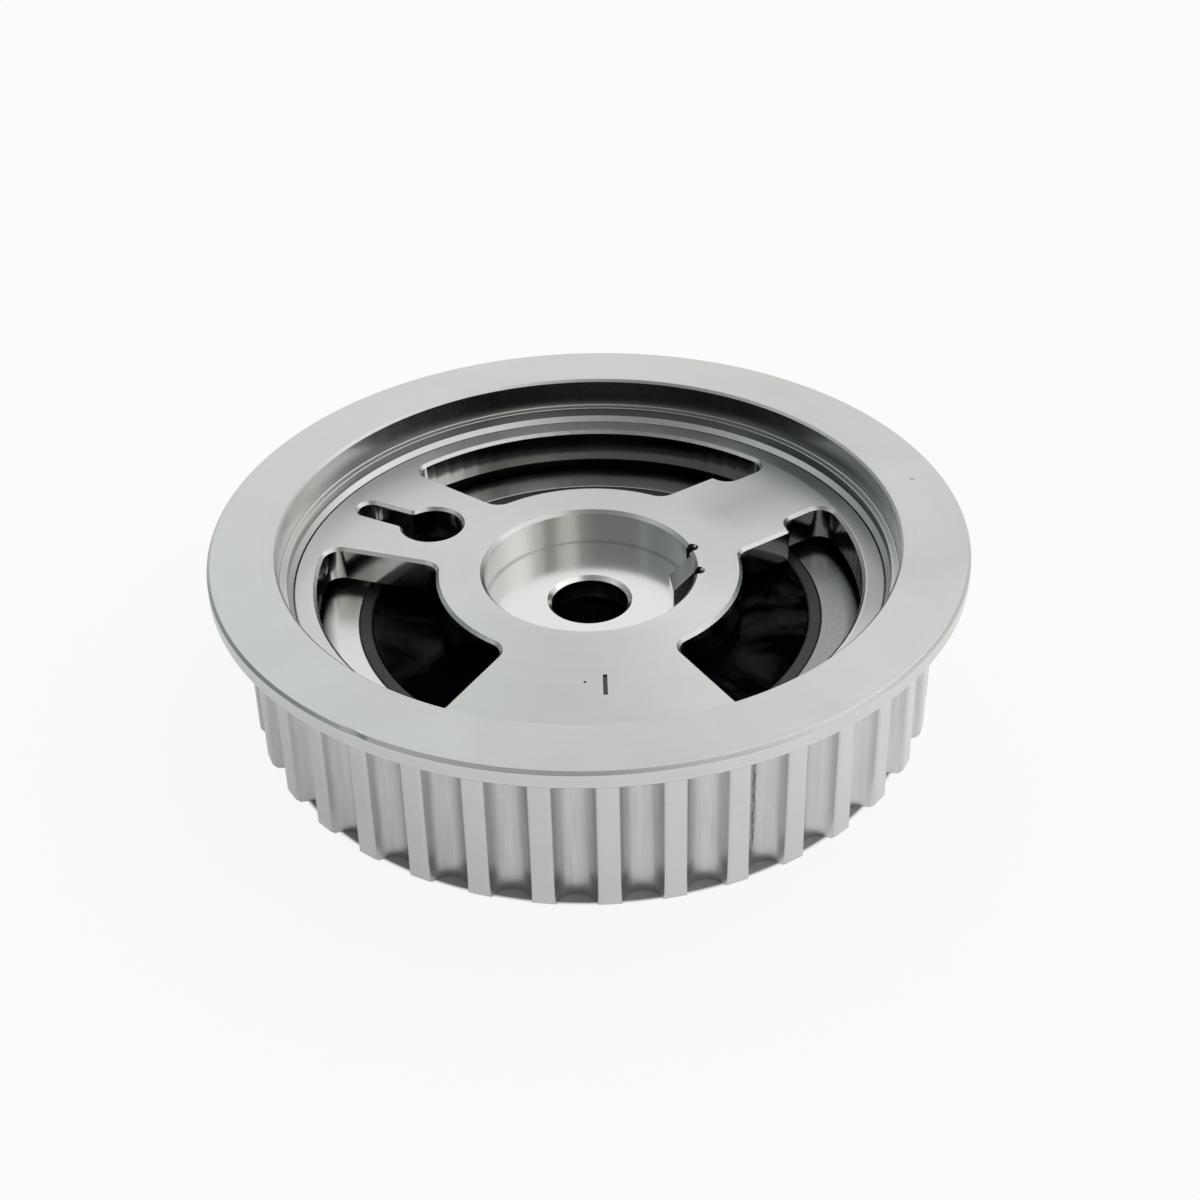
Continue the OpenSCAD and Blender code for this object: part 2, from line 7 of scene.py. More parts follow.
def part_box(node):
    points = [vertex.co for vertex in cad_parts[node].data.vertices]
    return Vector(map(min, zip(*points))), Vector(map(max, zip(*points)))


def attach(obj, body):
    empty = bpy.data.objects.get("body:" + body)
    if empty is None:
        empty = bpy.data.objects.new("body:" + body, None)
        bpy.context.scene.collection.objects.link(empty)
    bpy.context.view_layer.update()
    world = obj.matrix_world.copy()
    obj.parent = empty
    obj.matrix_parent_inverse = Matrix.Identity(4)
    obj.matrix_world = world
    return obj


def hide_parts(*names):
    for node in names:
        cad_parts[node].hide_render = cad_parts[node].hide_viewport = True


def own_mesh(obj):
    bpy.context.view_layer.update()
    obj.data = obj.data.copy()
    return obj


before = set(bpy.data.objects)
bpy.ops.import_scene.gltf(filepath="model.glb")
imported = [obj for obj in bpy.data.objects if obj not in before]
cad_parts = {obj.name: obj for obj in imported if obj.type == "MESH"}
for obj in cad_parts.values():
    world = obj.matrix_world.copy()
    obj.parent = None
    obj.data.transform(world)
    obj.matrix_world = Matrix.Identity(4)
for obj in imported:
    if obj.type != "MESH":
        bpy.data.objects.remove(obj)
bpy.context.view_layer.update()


# The toothed pulley is the outer piece of the driving side: belt teeth, one flange and a stepped
# front recess, turned from a single steel blank. The belt grooves are cut afterwards with a form
# tool, so their floors are duller and grainier than the turned faces.
mm = 0.001
flange_r, _, total_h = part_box("belt_flange")[1]
tooth_count = 36
tooth_phase = math.radians(1.8)
tooth_length = 25.6 * mm
tooth_chamfer = 0.7 * mm
tooth_edge = 0.55 * mm
groove_r = 3 * mm
tip_r = flange_r - 4.8 * mm
bore_r = tip_r - groove_r - 4.64 * mm
step_bevel = 0.75 * mm
step_bore_r = bore_r + step_bevel
front_bore_r = step_bore_r + 1.15 * mm
rib_r = bore_r - 1.65 * mm
ledge_z = total_h - 5 * mm
flange_edge = 0.45 * mm
recess_edge = 0.4 * mm
plate_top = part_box("hub_plate")[1].z
front_cover_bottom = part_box("front_cover")[0].z
rear_cover_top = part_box("rear_cover")[1].z


def add(tree, kind, sockets=None, **settings):
    """Adds a node to a tree. Each socket gets a link from another node's output or a plain value."""
    made = tree.nodes.new(kind)
    for name, value in settings.items():
        setattr(made, name, value)
    for key, value in (sockets or {}).items():
        if isinstance(value, bpy.types.NodeSocket):
            tree.links.new(value, made.inputs[key])
        else:
            made.inputs[key].default_value = value
    return made


def calc(tree, operation, *values):
    """Adds a math node and returns its result."""
    return add(tree, "ShaderNodeMath", dict(enumerate(values)), operation=operation).outputs[0]


def new_sockets(tree, in_out, **kinds):
    """Gives a group its named inputs or outputs."""
    for name, kind in kinds.items():
        tree.interface.new_socket(name.replace("_", " "), in_out=in_out, socket_type="NodeSocket" + kind)


def end_tree(tree, geometry, material):
    """Ends a Geometry Nodes tree with real geometry in its material."""
    real = add(tree, "GeometryNodeRealizeInstances", {"Geometry": geometry})
    dressed = add(tree, "GeometryNodeSetMaterial", {"Geometry": real.outputs[0], "Material": material})
    add(tree, "NodeGroupOutput", {"Geometry": dressed.outputs[0]})


def set_inputs(modifier, values):
    """Sets a Geometry Nodes modifier's inputs, each by its socket's identifier."""
    for socket in modifier.node_group.interface.items_tree:
        if socket.name in values:
            modifier[socket.identifier] = values[socket.name]


def rounded(corners, steps=3):
    """Closed profile from corners (r, z, rounding, toothed), as points (r, z, toothed)."""
    points = []
    for i, (r, z, rounding, toothed) in enumerate(corners):
        here = Vector((r, z))
        back = (Vector(corners[i - 1][:2]) - here).normalized()
        ahead = (Vector(corners[(i + 1) % len(corners)][:2]) - here).normalized()
        if rounding == 0:
            points.append((r, z, toothed))
            continue
        half = back.angle(ahead) / 2
        centre = here + (back + ahead).normalized() * rounding / math.sin(half)
        reach = rounding / math.tan(half)
        first = here + back * reach - centre
        last = here + ahead * reach - centre
        start = math.atan2(first.y, first.x)
        turn = math.remainder(math.atan2(last.y, last.x) - start, math.tau)
        for k in range(steps + 1):
            angle = start + turn * k / steps
            spot = centre + rounding * Vector((math.cos(angle), math.sin(angle)))
            points.append((spot.x, spot.y, toothed))
    return points


def tooth_outline(groove_steps=6, edge_steps=3, land_steps=3):
    """One belt pitch with its groove in the middle, as points (angle, depth below the tooth tips)."""
    fillet_r = tip_r - tooth_edge
    fillet_gap = groove_r + tooth_edge
    fillet_x = (tip_r**2 + fillet_r**2 - fillet_gap**2) / (2 * tip_r)
    fillet_y = math.sqrt(fillet_r**2 - fillet_x**2)
    groove_turn = math.atan2(fillet_y, tip_r - fillet_x)
    land_turn = math.atan2(fillet_y, fillet_x)
    half_pitch = math.pi / tooth_count
    half = []
    for k in range(groove_steps):
        turn = groove_turn * k / groove_steps
        half.append((tip_r - groove_r * math.cos(turn), groove_r * math.sin(turn)))
    for k in range(edge_steps):
        turn = -groove_turn + (land_turn + groove_turn) * k / edge_steps
        half.append((fillet_x + tooth_edge * math.cos(turn), fillet_y + tooth_edge * math.sin(turn)))
    for k in range(land_steps + 1):
        turn = land_turn + (half_pitch - land_turn) * k / land_steps
        half.append((tip_r * math.cos(turn), tip_r * math.sin(turn)))
    polar = [(math.atan2(y, x), tip_r - math.hypot(x, y)) for x, y in half]
    return [(-angle, depth) for angle, depth in reversed(polar)] + polar[1:-1]


def turned_ring_tree():
    """Geometry Nodes that sweep a closed profile round the axle and sink its toothed levels into grooves.

    The input mesh holds the profile's points and then the points of one pitch of the tooth outline."""
    tree = bpy.data.node_groups.new("turned_ring", "GeometryNodeTree")
    new_sockets(
        tree, "INPUT", Geometry="Geometry", Profile_Points="Int", Outline_Points="Int", Pitches="Int",
        First_Angle="Float", Tip_Radius="Float", Material="Material",
    )
    new_sockets(tree, "OUTPUT", Geometry="Geometry")
    given = add(tree, "NodeGroupInput").outputs
    levels = calc(tree, "ADD", given["Profile Points"], 1)
    columns = calc(tree, "MULTIPLY_ADD", given["Pitches"], given["Outline Points"], 1)
    grid = add(tree, "GeometryNodeMeshGrid", {"Vertices X": columns, "Vertices Y": levels})
    index = add(tree, "GeometryNodeInputIndex").outputs[0]
    column = calc(tree, "FLOOR", calc(tree, "DIVIDE", index, levels))
    level = calc(tree, "SUBTRACT", index, calc(tree, "MULTIPLY", column, levels))
    level = calc(tree, "MODULO", level, given["Profile Points"])
    pitch = calc(tree, "FLOOR", calc(tree, "DIVIDE", column, given["Outline Points"]))
    place = calc(tree, "SUBTRACT", column, calc(tree, "MULTIPLY", pitch, given["Outline Points"]))
    place = calc(tree, "ADD", place, given["Profile Points"])
    position = add(tree, "GeometryNodeInputPosition").outputs[0]
    flag = add(tree, "GeometryNodeInputNamedAttribute", {"Name": "toothed"}, data_type="FLOAT").outputs[0]

    def sample(value, at, kind):
        found = {"Geometry": given["Geometry"], "Value": value, "Index": at}
        return add(tree, "GeometryNodeSampleIndex", found, data_type=kind).outputs[0]

    profile = add(tree, "ShaderNodeSeparateXYZ", {0: sample(position, level, "FLOAT_VECTOR")}).outputs
    outline = add(tree, "ShaderNodeSeparateXYZ", {0: sample(position, place, "FLOAT_VECTOR")}).outputs
    groove_at = calc(tree, "SUBTRACT", given["Tip Radius"], outline["Y"])
    sunk = calc(tree, "MAXIMUM", calc(tree, "SUBTRACT", profile["X"], groove_at), 0)
    sunk = calc(tree, "MULTIPLY", sunk, sample(flag, level, "FLOAT"))
    radius = calc(tree, "SUBTRACT", profile["X"], sunk)
    pitch_angle = calc(tree, "DIVIDE", math.tau, given["Pitches"])
    angle = calc(tree, "MULTIPLY_ADD", pitch, pitch_angle, given["First Angle"])
    angle = calc(tree, "ADD", angle, outline["X"])
    spot = add(tree, "ShaderNodeCombineXYZ", {
        "X": calc(tree, "MULTIPLY", radius, calc(tree, "COSINE", angle)),
        "Y": calc(tree, "MULTIPLY", radius, calc(tree, "SINE", angle)),
        "Z": profile["Z"],
    }).outputs[0]
    placed = add(tree, "GeometryNodeSetPosition", {"Geometry": grid.outputs["Mesh"], "Position": spot})
    closed = add(tree, "GeometryNodeMergeByDistance", {"Geometry": placed.outputs[0], "Distance": 1e-6})
    end_tree(tree, closed.outputs[0], given["Material"])
    return tree


def bake(piece):
    """Turns what a piece's modifiers make into its own plain mesh."""
    shown = piece.evaluated_get(bpy.context.evaluated_depsgraph_get())
    mesh = bpy.data.meshes.new_from_object(shown)
    piece.modifiers.clear()
    piece.data = mesh


def smooth_faces(piece, sharp_angle=32):
    """Closes a mesh, turns its faces outwards and smooths it between its sharp edges.

    The weights follow the faces' areas and fail on tiny ones, so the mesh is in millimetres for them."""
    shell = bmesh.new()
    shell.from_mesh(piece.data)
    bmesh.ops.remove_doubles(shell, verts=shell.verts, dist=1e-7)
    bmesh.ops.recalc_face_normals(shell, faces=shell.faces)
    shell.to_mesh(piece.data)
    shell.free()
    piece.data.shade_smooth()
    piece.data.set_sharp_from_angle(angle=math.radians(sharp_angle))
    weighted = piece.modifiers.new("face_weights", "WEIGHTED_NORMAL")
    weighted.keep_sharp = True
    weighted.weight = 100
    piece.data.transform(Matrix.Scale(1 / mm, 4))
    bake(piece)
    piece.data.transform(Matrix.Scale(mm, 4))


def new_piece(name, mesh):
    """Puts a mesh into the scene as a piece of the object."""
    piece = bpy.data.objects.new(name, mesh)
    bpy.context.scene.collection.objects.link(piece)
    return piece


ring_tree = turned_ring_tree()


def turned_piece(name, corners, material, outline=((0.0, 0.0),), pitches=180, first_angle=0.0):
    """A piece turned on the lathe from a profile of corners (r, z, rounding, toothed)."""
    profile = rounded(corners)
    mesh = bpy.data.meshes.new(name)
    spots = [(r, 0, z) for r, z, _ in profile] + [(angle, depth, 0) for angle, depth in outline]
    mesh.from_pydata(spots, [], [])
    flags = mesh.attributes.new("toothed", "FLOAT", "POINT")
    flags.data.foreach_set("value", [float(p[2]) for p in profile] + [0.0] * len(outline))
    piece = new_piece(name, mesh)
    turning = piece.modifiers.new("turning", "NODES")
    turning.node_group = ring_tree
    set_inputs(turning, {
        "Profile Points": len(profile), "Outline Points": len(outline), "Pitches": pitches,
        "First Angle": first_angle, "Tip Radius": tip_r, "Material": material,
    })
    bake(piece)
    smooth_faces(piece)
    return piece


def spot_of(tree, place=None):
    """The place on a piece, in the object's frame, as separate X, Y and Z."""
    place = place or add(tree, "ShaderNodeTexCoord").outputs["Object"]
    return add(tree, "ShaderNodeSeparateXYZ", {0: place}).outputs


def from_axle(tree, spot):
    """Distance from the axle of a spot given by its separate coordinates."""
    across = calc(tree, "MULTIPLY", spot["X"], spot["X"])
    return calc(tree, "SQRT", calc(tree, "MULTIPLY_ADD", spot["Y"], spot["Y"], across))


def lathe_marks_group():
    """Shader group: fine rings round the axle, on flat faces and on round walls alike."""
    tree = bpy.data.node_groups.new("lathe_marks", "ShaderNodeTree")
    new_sockets(tree, "INPUT", Lines_per_Metre="Float", Seed="Float")
    new_sockets(tree, "OUTPUT", Lines="Float", Fade="Float")
    given = add(tree, "NodeGroupInput").outputs
    place = add(tree, "ShaderNodeTexCoord").outputs["Object"]
    spot = spot_of(tree, place)
    radius = from_axle(tree, spot)
    across = add(tree, "ShaderNodeCombineXYZ", {
        "X": calc(tree, "MULTIPLY", radius, given["Lines per Metre"]),
        "Y": calc(tree, "MULTIPLY", spot["Z"], given["Lines per Metre"]),
        "Z": given["Seed"],
    }).outputs[0]
    fine = {"Vector": across, "Scale": 1.0, "Detail": 3.0, "Roughness": 0.62}
    lines = add(tree, "ShaderNodeTexNoise", fine)
    patches = add(tree, "ShaderNodeTexNoise", {"Vector": place, "Scale": 70.0, "Detail": 1.0})
    add(tree, "NodeGroupOutput", {"Lines": lines.outputs[0], "Fade": patches.outputs[0]})
    return tree


def handling_group():
    """Shader group: soft smudges from handling and a fine grain."""
    tree = bpy.data.node_groups.new("handling", "ShaderNodeTree")
    new_sockets(tree, "INPUT", Smudge_Scale="Float", Grain_Scale="Float", Seed="Float")
    new_sockets(tree, "OUTPUT", Smudge="Float", Grain="Float")
    given = add(tree, "NodeGroupInput").outputs
    place = add(tree, "ShaderNodeTexCoord").outputs["Object"]
    shifted = add(tree, "ShaderNodeVectorMath", {0: place, 1: given["Seed"]}, operation="ADD").outputs[0]
    smudge = add(tree, "ShaderNodeTexNoise", {
        "Vector": shifted, "Scale": given["Smudge Scale"], "Detail": 4.0, "Roughness": 0.55,
        "Distortion": 0.6,
    })
    grain = add(tree, "ShaderNodeTexNoise", {
        "Vector": shifted, "Scale": given["Grain Scale"], "Detail": 2.0, "Roughness": 0.6,
    })
    add(tree, "NodeGroupOutput", {"Smudge": smudge.outputs[0], "Grain": grain.outputs[0]})
    return tree


lathe_marks = lathe_marks_group()
handling = handling_group()


def effect(tree, group, **values):
    """Places a shared effect in a material with its own values, and returns its outputs."""
    placed = add(tree, "ShaderNodeGroup", node_tree=group)
    for name, value in values.items():
        placed.inputs[name.replace("_", " ")].default_value = value
    return placed.outputs


def new_finish(name, **constants):
    """A material with its Principled shader. Values that are the same all over go on the shader itself."""
    material = bpy.data.materials.new(name)
    material.use_nodes = True
    tree = material.node_tree
    shader = tree.nodes["Principled BSDF"]
    for socket, value in constants.items():
        shader.inputs[socket.replace("_", " ")].default_value = value
    return material, tree, shader


def grey(level, tint=(1.0, 1.0, 1.0)):
    """A grey of the given level, slightly tinted, as a colour."""
    return (level * tint[0], level * tint[1], level * tint[2], 1.0)


def spread(tree, value, low, high, from_low=0.3, from_high=0.7):
    """Maps the middle of a noise's range to run from low to high."""
    return add(tree, "ShaderNodeMapRange", {
        "Value": value, "From Min": from_low, "From Max": from_high, "To Min": low, "To Max": high,
    }).outputs[0]


def mix_colour(tree, factor, first, second):
    """Mixes two colours."""
    mixed = add(tree, "ShaderNodeMix", {0: factor, 6: first, 7: second}, data_type="RGBA")
    return mixed.outputs[2]


def mix_value(tree, factor, first, second):
    """Mixes two values."""
    return add(tree, "ShaderNodeMix", {0: factor, 2: first, 3: second}, data_type="FLOAT").outputs[0]


def bump(tree, shader, height, depth):
    """Gives a shader a relief of the given depth in metres."""
    relief = add(tree, "ShaderNodeBump", {"Height": height, "Strength": 1.0, "Distance": depth})
    tree.links.new(relief.outputs[0], shader.inputs["Normal"])


def band(tree, value, low, high, soft):
    """1 between two levels of a value and 0 outside them, with soft ends."""
    rise = spread(tree, value, 0.0, 1.0, low - soft, low)
    return calc(tree, "MULTIPLY", rise, spread(tree, value, 1.0, 0.0, high, high + soft))


def sector(tree, angle, first, last, soft):
    """1 between two directions round the axle, in degrees, and 0 outside them, with soft ends."""
    return band(tree, angle, math.radians(first), math.radians(last), math.radians(soft))


def product(tree, first, *others):
    """Multiplies values one after the other."""
    for other in others:
        first = calc(tree, "MULTIPLY", first, other)
    return first


steel_tint = (0.985, 1.0, 0.975)
# A near-black grey for painted shade and dark reflections on walls and faces.
painted_shade_tone = grey(0.06, (0.9, 1.03, 1.0))


def turned_steel(name, dark, light, face_rough, wall_rough, lines_per_metre, seed):
    """Bare turned steel: flat faces are dull and round walls glossier; faces tilted like chamfers take a
    fixed grey, a painted highlight tone.
    """
    material, tree, shader = new_finish(name, Metallic=1.0)
    marks = effect(tree, lathe_marks, Lines_per_Metre=lines_per_metre, Seed=seed)
    touch = effect(tree, handling, Smudge_Scale=45.0, Grain_Scale=5200.0, Seed=seed)
    smudge = touch["Smudge"]
    tone = calc(tree, "MULTIPLY_ADD", marks["Lines"], 0.3, calc(tree, "MULTIPLY", smudge, 0.7))
    colour = mix_colour(tree, spread(tree, tone, 0.0, 1.0), grey(dark, steel_tint), grey(light, steel_tint))
    normal = add(tree, "ShaderNodeNewGeometry").outputs["Normal"]
    facing = calc(tree, "ABSOLUTE", add(tree, "ShaderNodeSeparateXYZ", {0: normal}).outputs["Z"])
    # Painted highlight tone: faces tilted like chamfers get a fixed grey, chosen for how bright their
    # highlight shows.
    edge = band(tree, facing, 0.45, 0.85, 0.12)
    gloss = mix_value(tree, spread(tree, facing, 0.0, 1.0, 0.2, 0.9), wall_rough, face_rough)
    return material, tree, shader, {
        "colour": mix_colour(tree, edge, colour, grey(0.62, steel_tint)),
        "gloss": calc(tree, "ADD", gloss, spread(tree, smudge, -0.03, 0.04)),
        "height": calc(tree, "MULTIPLY", marks["Lines"], marks["Fade"]),
        "grain": touch["Grain"],
        "facing": facing,
    }


def dress(tree, shader, colour, gloss, height, depth):
    """Gives a shader its colour, its roughness and its fine relief."""
    tree.links.new(colour, shader.inputs["Base Color"])
    tree.links.new(gloss, shader.inputs["Roughness"])
    bump(tree, shader, height, depth)


pulley_steel, tree, shader, parts = turned_steel("pulley_steel", 0.64, 0.72, 0.34, 0.22, 1400.0, 3.0)
place = add(tree, "ShaderNodeTexCoord").outputs["Object"]
spot = spot_of(tree, place)
radius = from_axle(tree, spot)
below_tips = spread(tree, radius, 1.0, 0.0, tip_r - 0.45 * mm, tip_r - 0.1 * mm)
outside_bore = calc(tree, "GREATER_THAN", radius, front_bore_r + 1 * mm)
under_flange = calc(tree, "LESS_THAN", spot["Z"], tooth_length - 0.02 * mm)
in_groove = product(tree, below_tips, outside_bore, under_flange)
squeeze = {0: place, 1: (1.0, 1.0, 0.07)}
drawn_out = add(tree, "ShaderNodeVectorMath", squeeze, operation="MULTIPLY").outputs[0]
streaks = add(tree, "ShaderNodeTexNoise", {"Vector": drawn_out, "Scale": 1300.0, "Detail": 3.0}).outputs[0]
streaks = calc(tree, "MULTIPLY_ADD", streaks, 0.6, calc(tree, "MULTIPLY", parts["grain"], 0.4))
groove_tone = mix_colour(
    tree, spread(tree, streaks, 0.0, 1.0), grey(0.56, steel_tint), grey(0.72, steel_tint))

burr_angle = math.radians(-64.3)
burr_low, burr_high = 4.5 * mm, 21.5 * mm
along = add(tree, "ShaderNodeTexNoise", {"Vector": drawn_out, "Scale": 9000.0, "Detail": 1.0}).outputs[0]
angle = calc(tree, "ARCTAN2", spot["Y"], spot["X"])
off_line = calc(tree, "SUBTRACT", angle, spread(tree, along, burr_angle - 0.007, burr_angle + 0.007))
burr = spread(tree, calc(tree, "ABSOLUTE", off_line), 1.0, 0.0, 0.003, 0.006)
burr_reach = band(tree, spot["Z"], burr_low, burr_high, 1 * mm)
burr = product(tree, burr, burr_reach, outside_bore)
speck_spot = (52.2 * mm, 12.0 * mm, total_h)
speck_off = add(tree, "ShaderNodeVectorMath", {0: place, 1: speck_spot}, operation="DISTANCE")
speck = spread(tree, speck_off.outputs["Value"], 0.6, 0.0, 0.1 * mm, 0.5 * mm)
stain = calc(tree, "MAXIMUM", burr, speck)
# Painted shade: the recess walls are tinted near black over one range of angles, more strongly lower down,
# standing in for their dark reflections and shade.
recess_wall = band(tree, radius, step_bore_r - 0.1 * mm, front_bore_r + 0.1 * mm, 0.05 * mm)
upright = spread(tree, parts["facing"], 1.0, 0.0, 0.1, 0.4)
shade_turn = sector(tree, angle, -25, 145, 25)
shade_by_depth = spread(tree, spot["Z"], 0.76, 0.3, ledge_z + 1.4 * mm, ledge_z + 3.2 * mm)
painted_shade = product(tree, recess_wall, upright, shade_turn, shade_by_depth)
colour = mix_colour(tree, painted_shade, parts["colour"], painted_shade_tone)
colour = mix_colour(tree, in_groove, colour, groove_tone)
dress(
    tree, shader,
    mix_colour(tree, stain, colour, grey(0.16, steel_tint)),
    mix_value(tree, in_groove, parts["gloss"], 0.33),
    mix_value(tree, in_groove, calc(tree, "MULTIPLY", parts["height"], 0.3), streaks),
    0.005 * mm,
)

nick_angle = math.radians(-123.5)
nick_half = math.radians(1.7)
nick_depth = 0.3 * mm
nick_clear = 1.2 * mm
pulley = turned_piece(
    "toothed_pulley_turned",
    [
        (tip_r - tooth_chamfer, 0, 0.25 * mm, 1),
        (tip_r, tooth_chamfer, 0.4 * mm, 1),
        (tip_r, tooth_length, 0, 1),
        (flange_r - flange_edge, tooth_length, 0.12 * mm, 0),
        (flange_r, tooth_length + flange_edge, 0.15 * mm, 0),
        (flange_r, total_h - flange_edge, 0.15 * mm, 0),
        (flange_r - flange_edge, total_h, 0.15 * mm, 0),
        (flange_r - nick_clear, total_h, 0, 0),
        (front_bore_r + recess_edge, total_h, 0.1 * mm, 0),
        (front_bore_r, total_h - recess_edge, 0.1 * mm, 0),
        (front_bore_r, ledge_z, 0.2 * mm, 0),
        (step_bore_r, ledge_z, 0.15 * mm, 0),
        (step_bore_r, plate_top + step_bevel, 0.15 * mm, 0),
        (bore_r, plate_top, 0.1 * mm, 0),
        (bore_r, front_cover_bottom, 0, 0),
        (rib_r, front_cover_bottom, 0.1 * mm, 0),
        (rib_r, rear_cover_top, 0.1 * mm, 0),
        (bore_r, rear_cover_top, 0, 0),
        (bore_r, 0, 0.2 * mm, 0),
    ],
    pulley_steel,
    outline=tooth_outline(),
    pitches=tooth_count,
    first_angle=tooth_phase + math.pi / tooth_count,
)
for vertex in pulley.data.vertices:
    r = vertex.co.xy.length
    off = abs(math.remainder(math.atan2(vertex.co.y, vertex.co.x) - nick_angle, math.tau)) / nick_half
    if off < 1 and r > flange_r - 1 * mm and vertex.co.z > total_h - 0.6 * mm:
        dent = nick_depth * (1 - off**2)
        vertex.co.x *= 1 - dent / r
        vertex.co.y *= 1 - dent / r
        vertex.co.z -= 0.7 * dent
smooth_faces(pulley)
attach(pulley, "driving_side")
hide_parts("toothed_pulley", "belt_flange")


# The stator is the vane housing, a sintered and ground steel ring with four inward lobes. It sits
# against the pulley's inner rib, and four hardened pins half in each carry the belt's turning force.
def satin_metal(name, dark, light, rough, grain_depth, seed, tint=(1.0, 1.0, 1.0)):
    """Satin metal with an even fine grain and soft smudges."""
    material, tree, shader = new_finish(name, Metallic=1.0)
    touch = effect(tree, handling, Smudge_Scale=60.0, Grain_Scale=3600.0, Seed=seed)
    smudge, grain = touch["Smudge"], touch["Grain"]
    tone = calc(tree, "MULTIPLY_ADD", grain, 0.6, calc(tree, "MULTIPLY", smudge, 0.4))
    colour = mix_colour(tree, spread(tree, tone, 0.0, 1.0), grey(dark, tint), grey(light, tint))
    gloss = spread(tree, smudge, rough - 0.05, rough + 0.06)
    dress(tree, shader, colour, gloss, grain, grain_depth)
    return material


def finished_copy(node, material, body, edge=0.12 * mm):
    """A copy of a CAD piece with its triangles joined, its edges broken and its round faces smooth."""
    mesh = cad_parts[node].data.copy()
    mesh.materials.clear()
    mesh.materials.append(material)
    shell = bmesh.new()
    shell.from_mesh(mesh)
    bmesh.ops.remove_doubles(shell, verts=shell.verts, dist=1e-6)
    bmesh.ops.dissolve_limit(shell, angle_limit=math.radians(0.4), verts=shell.verts, edges=shell.edges)
    shell.to_mesh(mesh)
    shell.free()
    piece = new_piece(node + "_finished", mesh)
    if edge:
        broken = piece.modifiers.new("broken_edges", "BEVEL")
        broken.width = edge
        broken.segments = 2
        broken.limit_method = "ANGLE"
        broken.angle_limit = math.radians(35)
        broken.use_clamp_overlap = False
        bake(piece)
    smooth_faces(piece)
    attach(piece, body)
    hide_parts(node)
    return piece


sintered_steel = satin_metal("sintered_steel", 0.34, 0.50, 0.42, 0.006 * mm, 11.0)
pin_steel = satin_metal("pin_steel", 0.30, 0.42, 0.3, 0.002 * mm, 12.0)
finished_copy("stator", sintered_steel, "driving_side")
finished_copy("stator_key_pins", pin_steel, "driving_side")


# Eight sealing strips of dark filled plastic close the gaps at the lobes and at the vane tips. A bowed
# leaf of spring steel under each one presses it outwards from its slot.
def moulded(name, dark, light, rough, grain_scale, grain_depth, seed):
    """Moulded plastic or rubber: a slightly uneven tone and a fine dull grain."""
    material, tree, shader = new_finish(name)
    touch = effect(tree, handling, Smudge_Scale=90.0, Grain_Scale=grain_scale, Seed=seed)
    colour = mix_colour(tree, spread(tree, touch["Smudge"], 0.0, 1.0), dark, light)
    gloss = spread(tree, touch["Grain"], rough - 0.06, rough + 0.08)
    dress(tree, shader, colour, gloss, touch["Grain"], grain_depth)
    return material


strip_plastic = moulded("strip_plastic", grey(0.03), grey(0.05), 0.45, 2500.0, 0.004 * mm, 21.0)
leaf_steel = satin_metal("leaf_steel", 0.42, 0.55, 0.28, 0.001 * mm, 22.0)
for i in range(1, 5):
    finished_copy(f"lobe_seal_{i}", strip_plastic, "driving_side")
    finished_copy(f"lobe_spring_{i}", leaf_steel, "driving_side", edge=0)
    finished_copy(f"vane_seal_{i}", strip_plastic, "driven_side")
    finished_copy(f"vane_spring_{i}", leaf_steel, "driven_side", edge=0)


# The rotor carries the four vanes. Its front disc is what shows, black and glossy, through the
# windows of the hub plate. It is machined steel with a hard black coating over fine tool marks.
rotor_black, tree, shader = new_finish("rotor_black", Specular_IOR_Level=0.0, Coat_Roughness=0.16)
marks = effect(tree, lathe_marks, Lines_per_Metre=900.0, Seed=5.0)
smudge = effect(tree, handling, Smudge_Scale=55.0, Seed=31.0)["Smudge"]
oil_film = spread(tree, smudge, 0.0, 1.0, 0.5, 0.72)
blue_black = mix_colour(tree, oil_film, (0.0008, 0.001, 0.002, 1.0), (0.003, 0.0035, 0.007, 1.0))
dress(tree, shader, blue_black, spread(tree, smudge, 0.1, 0.24), marks["Lines"], 0.003 * mm)
tree.links.new(mix_value(tree, oil_film, 0.0, 0.44), shader.inputs["Coat Weight"])
finished_copy("rotor", rotor_black, "driven_side")


# The lock pin is a small hardened steel plunger in one of the vanes. A coil spring above it pushes
# its nose into the groove in the rear cover. The spring shortens by the pin's travel as the pin rises.
finished_copy("lock_pin", pin_steel, "lock_pin")
lock_spring = finished_copy("lock_spring", leaf_steel, "driven_side", edge=0)
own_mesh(lock_spring)


# The rear cover is a ground steel plate that closes the oil chambers from below and carries the
# rotor's journal. A round rubber ring in its edge seals it against the pulley.
cover_steel = satin_metal("cover_steel", 0.46, 0.62, 0.36, 0.003 * mm, 41.0, steel_tint)
finished_copy("rear_cover", cover_steel, "driving_side")
seal_black = moulded("seal_black", grey(0.012), grey(0.022), 0.5, 2200.0, 0.004 * mm, 42.0)
ring_low, ring_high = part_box("rear_seal_ring")
ring_r = (ring_high.z - ring_low.z) / 2
ring_out = ring_high.x
seal_ring = turned_piece(
    "rear_seal_ring_moulded",
    [
        (ring_out - 2 * ring_r, ring_low.z, 0.98 * ring_r, 0), (ring_out, ring_low.z, 0.98 * ring_r, 0),
        (ring_out, ring_high.z, 0.98 * ring_r, 0), (ring_out - 2 * ring_r, ring_high.z, 0.98 * ring_r, 0),
    ],
    seal_black,
)
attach(seal_ring, "driving_side")
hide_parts("rear_seal_ring")


# Four countersunk screws with hexagon sockets clamp both covers to the stator and the pulley's rib.
# They are forged and blackened, and sit flush in the rear cover.
screw_count = 4
screw_r = 2 * mm
screw_head_r = 3.8 * mm
screw_socket_r = 1.45 * mm
screw_socket_depth = 1.4 * mm
screw_edge = 0.15 * mm
screw_low, screw_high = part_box("cover_screws")
screw_place_r = (rib_r - 0.02 * mm + rib_r - 6.6 * mm) / 2
screw_first_angle = math.radians(117.5)


